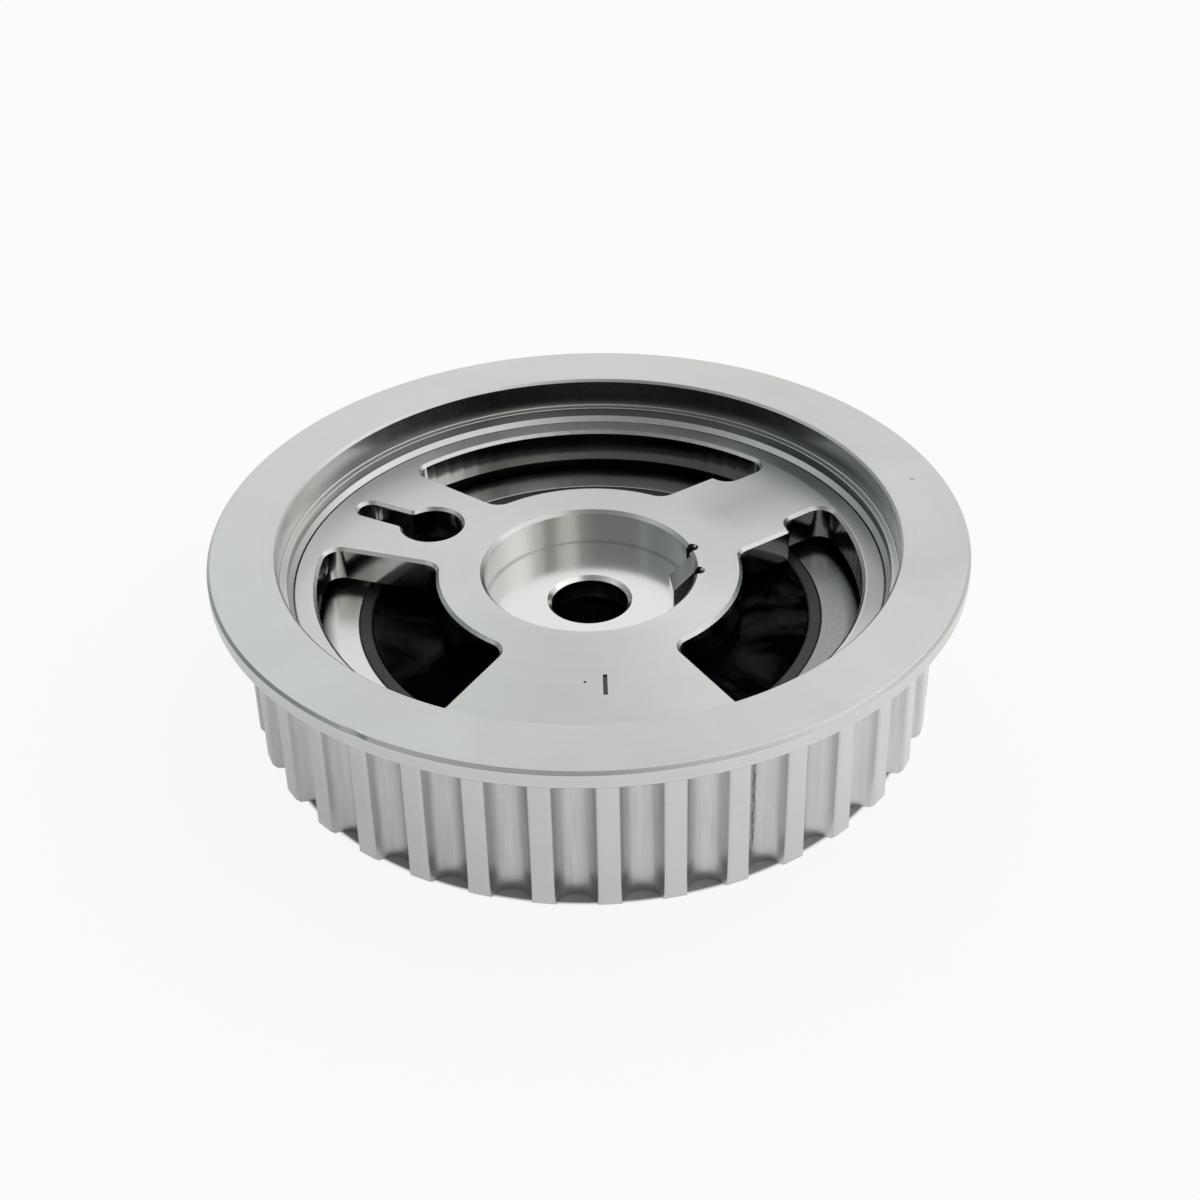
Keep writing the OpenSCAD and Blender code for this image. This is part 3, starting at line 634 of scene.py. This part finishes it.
def circle_points(radius, count, centre=(0.0, 0.0), first=0.0):
    """Points on a circle, anticlockwise."""
    turns = [first + math.tau * k / count for k in range(count)]
    return [(centre[0] + radius * math.cos(a), centre[1] + radius * math.sin(a)) for a in turns]


def ring_of(shell, points, z):
    """Adds a closed row of vertices at one height."""
    return [shell.verts.new((x, y, z)) for x, y in points]


def skin(shell, *rows):
    """Joins closed rows of equal count with faces, each row to the next."""
    for first, second in zip(rows, rows[1:]):
        for k in range(len(first)):
            nxt = (k + 1) % len(first)
            shell.faces.new((first[k], first[nxt], second[nxt], second[k]))


def cap(shell, *rows):
    """Fills the flat region between closed rows: the first is its edge, the others are holes."""
    edges = []
    for row in rows:
        for k in range(len(row)):
            pair = (row[k], row[(k + 1) % len(row)])
            edges.append(shell.edges.get(pair) or shell.edges.new(pair))
    bmesh.ops.triangle_fill(shell, use_beauty=True, edges=edges)


def screw_mesh(sides=48):
    """One countersunk screw, its head down, with its axle on Z."""
    shell = bmesh.new()
    low, high = screw_low.z, screw_high.z
    head_h = screw_head_r - screw_r
    levels = [
        (screw_head_r - screw_edge, low), (screw_head_r, low + screw_edge),
        (screw_r, low + head_h + screw_edge),
        (screw_r, high - 3 * screw_edge), (screw_r - 3 * screw_edge, high),
    ]
    rows = [ring_of(shell, circle_points(r, sides), z) for r, z in levels]
    skin(shell, *rows)
    cap(shell, rows[-1])
    mouth = ring_of(shell, circle_points(screw_socket_r + screw_edge, 6), low)
    throat = ring_of(shell, circle_points(screw_socket_r, 6), low + screw_edge)
    floor = ring_of(shell, circle_points(screw_socket_r, 6), low + screw_socket_depth)
    cap(shell, rows[0], mouth)
    skin(shell, mouth, throat, floor)
    cap(shell, floor)
    mesh = bpy.data.meshes.new("cover_screw")
    shell.to_mesh(mesh)
    shell.free()
    return mesh


def round_the_axle_tree():
    """Geometry Nodes that place copies of a piece at even angles round the axle."""
    tree = bpy.data.node_groups.new("round_the_axle", "GeometryNodeTree")
    new_sockets(
        tree, "INPUT", Geometry="Geometry", Count="Int", Place_Radius="Float", First_Angle="Float",
        Material="Material",
    )
    new_sockets(tree, "OUTPUT", Geometry="Geometry")
    given = add(tree, "NodeGroupInput").outputs
    index = add(tree, "GeometryNodeInputIndex").outputs[0]
    step = calc(tree, "DIVIDE", math.tau, given["Count"])
    angle = calc(tree, "MULTIPLY_ADD", index, step, given["First Angle"])
    spot = add(tree, "ShaderNodeCombineXYZ", {
        "X": calc(tree, "MULTIPLY", given["Place Radius"], calc(tree, "COSINE", angle)),
        "Y": calc(tree, "MULTIPLY", given["Place Radius"], calc(tree, "SINE", angle)),
    }).outputs[0]
    points = add(tree, "GeometryNodePoints", {"Count": given["Count"], "Position": spot})
    turn = add(tree, "ShaderNodeCombineXYZ", {"Z": angle}).outputs[0]
    copies = add(tree, "GeometryNodeInstanceOnPoints", {
        "Points": points.outputs[0], "Instance": given["Geometry"], "Rotation": turn,
    })
    end_tree(tree, copies.outputs[0], given["Material"])
    return tree


screw_black = satin_metal("screw_black", 0.06, 0.11, 0.42, 0.003 * mm, 51.0)
screws = new_piece("cover_screws_forged", screw_mesh())
placing = screws.modifiers.new("placing", "NODES")
placing.node_group = round_the_axle_tree()
set_inputs(placing, {
    "Count": screw_count, "Place Radius": screw_place_r, "First Angle": screw_first_angle,
    "Material": screw_black,
})
bake(screws)
smooth_faces(screws)
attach(screws, "driving_side")
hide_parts("cover_screws")


# The front cover is the light grey ring that shows just under the hub plate. It closes the oil
# chambers at the front and is ground steel with a satin finish.
cover_satin = satin_metal("cover_satin", 0.46, 0.64, 0.27, 0.003 * mm, 61.0, steel_tint)
tree = cover_satin.node_tree
shader = tree.nodes["Principled BSDF"]
spot = spot_of(tree)
# Painted shadow: the cover's outer edge, which lies under the hub plate, runs to near black.
painted_deep_shade = spread(tree, from_axle(tree, spot), 0.0, 1.0, 40.2 * mm, 42.6 * mm)
cover_tone = shader.inputs["Base Color"].links[0].from_socket
# Painted light and shade: the cover is lighter towards its left and darker towards its right, standing in for
# its reflections.
painted_side_light = spread(tree, spot["X"], 1.0, 0.0, -28 * mm, 28 * mm)
painted_side_light = mix_colour(tree, painted_side_light, mix_colour(tree, 0.45, cover_tone, grey(0.1)), grey(0.88, steel_tint))
cover_tone = mix_colour(tree, 0.88, cover_tone, painted_side_light)
tree.links.new(mix_colour(tree, painted_deep_shade, cover_tone, grey(0.006)), shader.inputs["Base Color"])
finished_copy("front_cover", cover_satin, "driving_side", edge=0.2 * mm)


# The front seal is a moulded rubber ring pressed into the front cover. Its rounded lip runs just
# clear of the rotor's disc.
seal_low, seal_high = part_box("front_seal")
seal_out = seal_high.x
seal_in = seal_out - 2.08 * mm
seal_grey = moulded("seal_grey", grey(0.016), grey(0.03), 0.45, 2000.0, 0.004 * mm, 71.0)
front_seal = turned_piece(
    "front_seal_moulded",
    [
        (seal_in, seal_low.z, 0.2 * mm, 0), (seal_out, seal_low.z, 0.2 * mm, 0),
        (seal_out, seal_high.z - 0.25 * mm, 0, 0), (seal_out - 0.25 * mm, seal_high.z, 0.1 * mm, 0),
        (seal_in, seal_high.z, 0.45 * mm, 0),
    ],
    seal_grey,
)
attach(front_seal, "driving_side")
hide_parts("front_seal")


# The hub plate is the driven side's front: a turned steel disc with three milled windows, a timing
# keyhole, and a counterbore with a wedge key. It turns with the rotor inside the pulley's recess.
plate_low, plate_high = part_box("hub_plate")
plate_r = plate_high.x
plate_t = 5.8 * mm
plate_bottom = plate_top - plate_t
plate_chamfer = 0.2 * mm
window_chamfer = 0.5 * mm
under_chamfer = 0.2 * mm
counterbore_r = 16.6 * mm
counterbore_chamfer = 0.55 * mm
counterbore_z = plate_top - 6 * mm
bolt_r = 6.1 * mm
bolt_chamfer = 0.65 * mm
boss_r = 22 * mm
boss_z = plate_low.z
dowel_count = 3
dowel_r = 1.52 * mm
dowel_grip = 3 * mm
dowel_place_r = (counterbore_r + boss_r) / 2
dowel_first_angle = math.radians(151.3)
key_angle = math.radians(5.7)
key_w = 4.6 * mm
key_reach = 3.5 * mm
key_nose_h = 1.7 * mm
key_top = plate_top - 0.7 * mm
key_edge = 0.18 * mm
key_sink = 0.5 * mm
key_root = 1 * mm
key_relief_r = 1 * mm
mark_depth = 0.25 * mm
punch_r = 0.22 * mm
punch_spot = (-1.03 * mm, -29.6 * mm)


def outlines_at(node, z):
    """The closed outlines of a CAD piece's flat face at height z, anticlockwise, largest first."""
    shell = bmesh.new()
    shell.from_mesh(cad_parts[node].data)
    bmesh.ops.remove_doubles(shell, verts=shell.verts, dist=1e-6)
    for face in shell.faces:
        face.tag = all(abs(v.co.z - z) < 1e-6 for v in face.verts)
    rim = [e for e in shell.edges if sum(f.tag for f in e.link_faces) == 1]
    joined = {}
    for edge in rim:
        for v in edge.verts:
            joined.setdefault(v, []).append(edge)
    left = set(rim)
    found = []
    while left:
        edge = left.pop()
        start, here = edge.verts
        row = [start.co.xy.copy()]
        while here is not start:
            row.append(here.co.xy.copy())
            edge = next(e for e in joined[here] if e in left)
            left.discard(edge)
            here = edge.other_vert(here)
        area = sum(a.cross(b) for a, b in zip(row, row[1:] + row[:1])) / 2
        found.append((abs(area), row if area > 0 else row[::-1]))
    shell.free()
    return [row for _, row in sorted(found, key=lambda item: -item[0])]


def grown(row, distance):
    """A closed anticlockwise outline moved outwards by a distance."""
    moved = []
    for k, here in enumerate(row):
        back = (here - row[k - 1]).normalized()
        ahead = (row[(k + 1) % len(row)] - here).normalized()
        out_back = Vector((back.y, -back.x))
        out_ahead = Vector((ahead.y, -ahead.x))
        moved.append(here + (out_back + out_ahead) * distance / (1 + out_back.dot(out_ahead)))
    return moved


def counterbore_outline(radius, wall_steps=120, relief_steps=10):
    """A circle with the two round reliefs beside the wedge key, anticlockwise."""
    relief_x = counterbore_r + key_relief_r / 3
    relief_y = key_w / 2 + key_relief_r
    relief_at = math.hypot(relief_x, relief_y)
    relief_turn = math.atan2(relief_y, relief_x)
    half_gap = math.acos((radius**2 + relief_at**2 - key_relief_r**2) / (2 * radius * relief_at))
    points = []
    for side in (1, -1):
        centre_turn = key_angle + side * relief_turn
        centre = relief_at * Vector((math.cos(centre_turn), math.sin(centre_turn)))
        first = radius * Vector((math.cos(centre_turn - half_gap), math.sin(centre_turn - half_gap))) - centre
        last = radius * Vector((math.cos(centre_turn + half_gap), math.sin(centre_turn + half_gap))) - centre
        start = math.atan2(first.y, first.x)
        turn = (math.atan2(last.y, last.x) - start) % math.tau
        for k in range(relief_steps + 1):
            angle = start + turn * k / relief_steps
            points.append(centre + key_relief_r * Vector((math.cos(angle), math.sin(angle))))
        wall_from = centre_turn + half_gap
        if side > 0:
            wall_to = key_angle - relief_turn - half_gap + math.tau
            count = wall_steps
        else:
            wall_to = key_angle + relief_turn - half_gap
            count = 6
        for k in range(1, count):
            angle = wall_from + (wall_to - wall_from) * k / count
            points.append(radius * Vector((math.cos(angle), math.sin(angle))))
    return points


plate_outlines = outlines_at("hub_plate", plate_top)
cut_outs = [row for row in plate_outlines if not any(p.length < counterbore_r + 2 * mm for p in row)]
cut_outs = [row for row in cut_outs if max(p.length for p in row) < plate_r - 1 * mm]
mark_outline = cut_outs.pop()
shell = bmesh.new()
rim_levels = [
    (plate_r - plate_chamfer, plate_top), (plate_r, plate_top - plate_chamfer),
    (plate_r, plate_bottom + under_chamfer), (plate_r - under_chamfer, plate_bottom),
]
rim_rows = [ring_of(shell, circle_points(r, 240), z) for r, z in rim_levels]
top_rows, bottom_rows = [rim_rows[0]], [rim_rows[-1]]
skin(shell, *rim_rows)
for outline in cut_outs:
    wall_levels = [
        (window_chamfer, plate_top), (0.0, plate_top - window_chamfer),
        (0.0, plate_bottom + under_chamfer), (under_chamfer, plate_bottom),
    ]
    rows = [ring_of(shell, grown(outline, reach), z) for reach, z in wall_levels]
    skin(shell, *rows)
    top_rows.append(rows[0])
    bottom_rows.append(rows[-1])
mark_top = ring_of(shell, mark_outline, plate_top)
mark_floor = ring_of(shell, grown(mark_outline, -0.08 * mm), plate_top - mark_depth)
skin(shell, mark_top, mark_floor)
cap(shell, mark_floor)
top_rows.append(mark_top)
punch_top = ring_of(shell, circle_points(punch_r, 16, punch_spot), plate_top)
punch_floor = ring_of(shell, circle_points(punch_r / 2, 16, punch_spot), plate_top - punch_r)
skin(shell, punch_top, punch_floor)
cap(shell, punch_floor)
top_rows.append(punch_top)
mouth = ring_of(shell, counterbore_outline(counterbore_r + counterbore_chamfer), plate_top)
throat = ring_of(shell, counterbore_outline(counterbore_r), plate_top - counterbore_chamfer)
foot = ring_of(shell, counterbore_outline(counterbore_r), counterbore_z)
skin(shell, mouth, throat, foot)
top_rows.append(mouth)
bolt_levels = [
    (bolt_r + bolt_chamfer, counterbore_z), (bolt_r, counterbore_z - bolt_chamfer), (bolt_r, boss_z),
]
bolt_rows = [ring_of(shell, circle_points(r, 96), z) for r, z in bolt_levels]
skin(shell, *bolt_rows)
cap(shell, foot, bolt_rows[0])
boss_levels = [(boss_r, plate_bottom), (boss_r, boss_z + under_chamfer), (boss_r - under_chamfer, boss_z)]
boss_rows = [ring_of(shell, circle_points(r, 144), z) for r, z in boss_levels]
skin(shell, *boss_rows)
bottom_rows.append(boss_rows[0])
boss_holes = []
for k in range(dowel_count):
    turn = dowel_first_angle + math.tau * k / dowel_count
    spots = circle_points(dowel_r, 24, (dowel_place_r * math.cos(turn), dowel_place_r * math.sin(turn)))
    dowel_mouth = ring_of(shell, spots, boss_z)
    dowel_end = ring_of(shell, spots, boss_z + dowel_grip)
    skin(shell, dowel_mouth, dowel_end)
    cap(shell, dowel_end)
    boss_holes.append(dowel_mouth)
cap(shell, boss_rows[-1], bolt_rows[-1], *boss_holes)
cap(shell, *top_rows)
cap(shell, *bottom_rows)

key_profile = [
    (counterbore_r - key_reach, counterbore_z - key_sink),
    (counterbore_r - key_reach, counterbore_z + key_nose_h),
    (counterbore_r, key_top), (counterbore_r + key_root, key_top),
    (counterbore_r + key_root, counterbore_z - key_sink),
]
key_shell = bmesh.new()
out = Vector((math.cos(key_angle), math.sin(key_angle), 0))
across = Vector((-math.sin(key_angle), math.cos(key_angle), 0))
key_rows = []
for side in (-1, 1):
    shift = across * side * key_w / 2
    key_rows.append([key_shell.verts.new(out * r + shift + Vector((0, 0, z))) for r, z in key_profile])
    key_shell.faces.new(key_rows[-1])
skin(key_shell, *key_rows)
bmesh.ops.bevel(key_shell, geom=key_shell.edges[:], offset=key_edge, segments=2, profile=0.5, affect="EDGES")
bmesh.ops.recalc_face_normals(key_shell, faces=key_shell.faces)
key_mesh = bpy.data.meshes.new("wedge_key")
key_shell.to_mesh(key_mesh)
key_shell.free()
shell.from_mesh(key_mesh)
plate_mesh = bpy.data.meshes.new("hub_plate_turned")
shell.to_mesh(plate_mesh)
shell.free()

plate_steel, tree, shader, parts = turned_steel("plate_steel", 0.64, 0.71, 0.3, 0.13, 1900.0, 81.0)
spot = spot_of(tree)
radius = from_axle(tree, spot)
# Painted shade: faces near the hub, more than 2 mm below the plate's top, are painted near black, standing in
# for the shade under the plate.
hub_side = band(tree, radius, 20 * mm, 25 * mm, 1 * mm)
low_down = spread(tree, spot["Z"], 1.0, 0.0, plate_top - 2 * mm, plate_top - 1 * mm)
painted_deep_shade = calc(tree, "MULTIPLY", hub_side, low_down)
seat = calc(tree, "MULTIPLY", parts["facing"], spread(tree, radius, 1.0, 0.0, 16 * mm, 16.5 * mm))
colour = mix_colour(tree, seat, parts["colour"], grey(0.88, steel_tint))
colour = mix_colour(tree, painted_deep_shade, colour, grey(0.08))
# Painted shade and dark reflections: the counterbore wall, the window walls, the outer ring face and a narrow
# sector of the spokes are tinted near black over chosen ranges of angle.
angle = calc(tree, "ARCTAN2", spot["Y"], spot["X"])
bore_wall = band(tree, radius, counterbore_r - 0.1 * mm, counterbore_r + 0.1 * mm, 0.05 * mm)
bore_wall_shade = sector(tree, angle, 20, 85, 16)
far_bore_shade = sector(tree, angle, 150, 180, 25)
bore_wall_shade = calc(tree, "MULTIPLY_ADD", far_bore_shade, 0.7, bore_wall_shade)
window_wall = band(tree, radius, 37 * mm, 43 * mm, 0.5 * mm)
window_wall_shade = sector(tree, angle, 35, 112, 10)
painted_shade = calc(
    tree, "ADD", product(tree, window_wall, window_wall_shade, 0.65), product(tree, bore_wall, bore_wall_shade, 0.48))
painted_shade = calc(tree, "MULTIPLY", painted_shade, spread(tree, parts["facing"], 1.0, 0.0, 0.1, 0.4))
ring_face = band(tree, radius, 43.6 * mm, 46.5 * mm, 0.4 * mm)
ring_face_shade = sector(tree, angle, -15, 40, 20)
spoke_face = band(tree, radius, 27 * mm, 45 * mm, 6 * mm)
spoke_streak_shade = sector(tree, angle, 33, 37, 16)
painted_face_shade = calc(
    tree, "ADD", product(tree, ring_face, ring_face_shade, 0.4), product(tree, spoke_face, spoke_streak_shade, 0.25))
painted_shade = calc(tree, "MAXIMUM", painted_shade, calc(tree, "MULTIPLY", painted_face_shade, parts["facing"]))
colour = mix_colour(tree, painted_shade, colour, painted_shade_tone)
gloss = mix_value(tree, seat, parts["gloss"], 0.18)
dress(tree, shader, colour, gloss, parts["height"], 0.0012 * mm)
plate_walls = plate_steel.copy()
plate_walls.name = "plate_walls"
shader.inputs["Anisotropic"].default_value = 0.6
shader.inputs["Anisotropic Rotation"].default_value = 0.25
round_axle = add(tree, "ShaderNodeTangent", direction_type="RADIAL", axis="Z")
tree.links.new(round_axle.outputs[0], shader.inputs["Tangent"])
# A near-black material for painted shade in the relief notches, the keyhole's sunk walls and the key's shaded
# side.
painted_shade_dark = satin_metal("painted_shade_dark", 0.05, 0.14, 0.5, 0.01 * mm, 82.0)
for material in (plate_steel, painted_shade_dark, plate_walls):
    plate_mesh.materials.append(material)
# Faces that stand in shade get the painted-shade material; upright faces and the seat get the walls' finish.
for face in plate_mesh.polygons:
    centre = face.center
    sunk = counterbore_z < centre.z < plate_top - 0.01 * mm
    on_wide_spoke = centre.xy.length > boss_r and abs(centre.x) < 4 * mm and centre.y < 0
    in_relief = counterbore_r + 0.12 * mm < centre.xy.length < counterbore_r + 2.5 * mm and centre.x > 0
    in_relief = in_relief and centre.z < plate_top - counterbore_chamfer / 2 and abs(face.normal.z) < 0.9
    on_key = abs(centre.xy.cross(out.xy)) < key_w / 2 + 0.1 * mm
    key_end = bolt_r + 2 * mm < centre.xy.length < counterbore_r - 0.3 * mm and centre.x > 0
    key_end = key_end and face.normal.dot(across) < -0.7
    on_seat = abs(centre.z - counterbore_z) < 0.01 * mm
    if sunk and (on_wide_spoke or key_end or in_relief and not on_key):
        face.material_index = 1
    elif on_seat or abs(face.normal.z) < 0.9:
        face.material_index = 2
plate = new_piece("hub_plate_turned", plate_mesh)
smooth_faces(plate, 25)
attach(plate, "driven_side")
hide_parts("hub_plate")


# Three ground dowels join the hub plate's boss to the rotor, so that both turn together.
# They are hardened steel and pressed into both pieces.
finished_copy("drive_dowels", pin_steel, "driven_side")


# The stage is a pale floor with a painted shadow under the part, under soft studio light: bright from above
# and behind, dim from the side of the camera, as in a light tent with an open front.
floor_mesh = bpy.data.meshes.new("floor")
floor_half = 3.0
floor_mesh.from_pydata(
    [(x * floor_half, y * floor_half, 0) for x, y in ((-1, -1), (1, -1), (1, 1), (-1, 1))],
    [], [(0, 1, 2, 3)])
floor_white = 0.95
floor_lift = 0.89
mirrored_lift = (0.3, 0.8)
shadow_shift = 1.6 * mm
floor_paper, tree, shader = new_finish("floor_paper", Roughness=0.9, Specular_IOR_Level=0.0)
rays = add(tree, "ShaderNodeLightPath").outputs
mirrored = calc(tree, "MAXIMUM", rays["Is Glossy Ray"], rays["Is Transmission Ray"])
spot = spot_of(tree)
towards_front = {"X": spot["X"], "Y": calc(tree, "ADD", spot["Y"], shadow_shift)}
# Painted shadow: the floor is grey under the part, on a disc shifted towards the front, and is not lifted
# there.
root_r = tip_r - groove_r
outside_painted_shadow = spread(tree, from_axle(tree, towards_front), 0.0, 1.0, root_r + 0.1 * mm, root_r + 0.7 * mm)
tree.links.new(mix_colour(tree, outside_painted_shadow, grey(0.4), grey(floor_white)), shader.inputs["Base Color"])
lift = calc(tree, "MULTIPLY", rays["Is Camera Ray"], floor_lift)
lift_across = spread(tree, spot["X"], *mirrored_lift, -60 * mm, 60 * mm)
lift = calc(tree, "MAXIMUM", lift, calc(tree, "MULTIPLY", mirrored, lift_across))
lift = calc(tree, "MULTIPLY", lift, outside_painted_shadow)
lifted = add(tree, "ShaderNodeMixShader", {
    0: lift, 1: shader.outputs[0],
    2: add(tree, "ShaderNodeEmission", {"Color": grey(1.0), "Strength": 1.0}).outputs[0],
})
tree.links.new(lifted.outputs[0], tree.nodes["Material Output"].inputs["Surface"])
floor_mesh.materials.append(floor_paper)
floor = new_piece("floor", floor_mesh)

scene = bpy.context.scene
scene.view_settings.view_transform = "Standard"
world = bpy.data.worlds.new("light_tent")
scene.world = world
world.use_nodes = True
tree = world.node_tree
way = add(tree, "ShaderNodeSeparateXYZ", {0: add(tree, "ShaderNodeTexCoord").outputs["Generated"]}).outputs
teal, pale_teal, olive = (0.13, 0.19, 0.18, 1.0), (0.34, 0.42, 0.4, 1.0), (0.13, 0.135, 0.115, 1.0)
pale, dim, shade = (0.62, 0.62, 0.55, 1.0), (0.28, 0.28, 0.22, 1.0), (0.3, 0.33, 0.31, 1.0)
panel, back_right = (0.78, 0.78, 0.76, 1.0), (0.66, 0.67, 0.66, 1.0)
back_wall = (0.97, 0.97, 0.955, 1.0)
tent_wall = [
    (-180, teal), (-163, teal), (-158, pale_teal), (-152, pale_teal), (-146, olive), (-82, olive),
    (-76, pale), (-58, pale), (-52, dim), (-42, dim), (-36, panel), (28, panel), (45, back_right),
    (68, back_right), (88, back_wall), (110, back_wall), (128, shade), (158, shade), (179, teal),
]
turn = calc(tree, "DIVIDE", calc(tree, "ARCTAN2", way["Y"], way["X"]), math.tau)
wall = add(tree, "ShaderNodeValToRGB", {0: calc(tree, "ADD", turn, 0.5)})
stops = wall.color_ramp.elements
for angle, colour in tent_wall:
    stop = stops.new((angle + 180) / 360)
    stop.color = colour
stops.remove(stops[0])
stops.remove(stops[-1])
wall_top, roof_start, roof_middle = 0.45, 0.66, 0.85
lamp_side = spread(tree, way["X"], 0.0, 1.0, 0.3, 0.6)
roof_edge = mix_colour(tree, lamp_side, grey(0.82), grey(0.4))
overhead = spread(tree, way["Z"], 0.0, 1.0, roof_start, roof_middle)
roof = mix_colour(tree, overhead, roof_edge, grey(0.14))
above_wall = spread(tree, way["Z"], 0.0, 1.0, wall_top, roof_start)
light = mix_colour(tree, above_wall, wall.outputs[0], roof)
boxes_of_light = [
    ((0.4, 0.54, 0.74), (1.3, 1.3, 1.27, 1.0)),
    ((-0.35, 0.5, 0.79), (1.0, 1.25, 1.2, 1.0)),
]
for towards, colour in boxes_of_light:
    ray = add(tree, "ShaderNodeTexCoord").outputs["Generated"]
    near = add(tree, "ShaderNodeVectorMath", {0: ray, 1: towards}, operation="DOT_PRODUCT").outputs["Value"]
    light = mix_colour(tree, spread(tree, near, 0.0, 1.0, 0.955, 0.985), light, colour)
tree.links.new(light, tree.nodes["Background"].inputs["Color"])

key_light = bpy.data.lights.new("overhead", "SUN")
key_light.energy = 0.9
key_light.angle = math.radians(72)
lamp = bpy.data.objects.new("overhead", key_light)
towards_lamp = Vector((0.42, 0.08, 0.9))
lamp.rotation_euler = towards_lamp.to_track_quat("Z", "Y").to_euler()
scene.collection.objects.link(lamp)

aim = Vector((0, 0, total_h))
camera_distance = 0.30416
camera_elevation = math.radians(32.874)
camera_roll = math.radians(-1.578)
camera_data = bpy.data.cameras.new("camera")
camera_data.lens = 58.75
camera_data.sensor_width = 36
camera_data.shift_x = 0.0101
camera_data.shift_y = -0.0596
camera_data.clip_start = 0.01
camera = bpy.data.objects.new("camera", camera_data)
camera.location = aim + camera_distance * Vector((0, -math.cos(camera_elevation), math.sin(camera_elevation)))
camera.rotation_mode = "QUATERNION"
level_view = (aim - camera.location).to_track_quat("-Z", "Y")
camera.rotation_quaternion = level_view @ Quaternion((0, 0, 1), camera_roll)
scene.collection.objects.link(camera)
scene.camera = camera
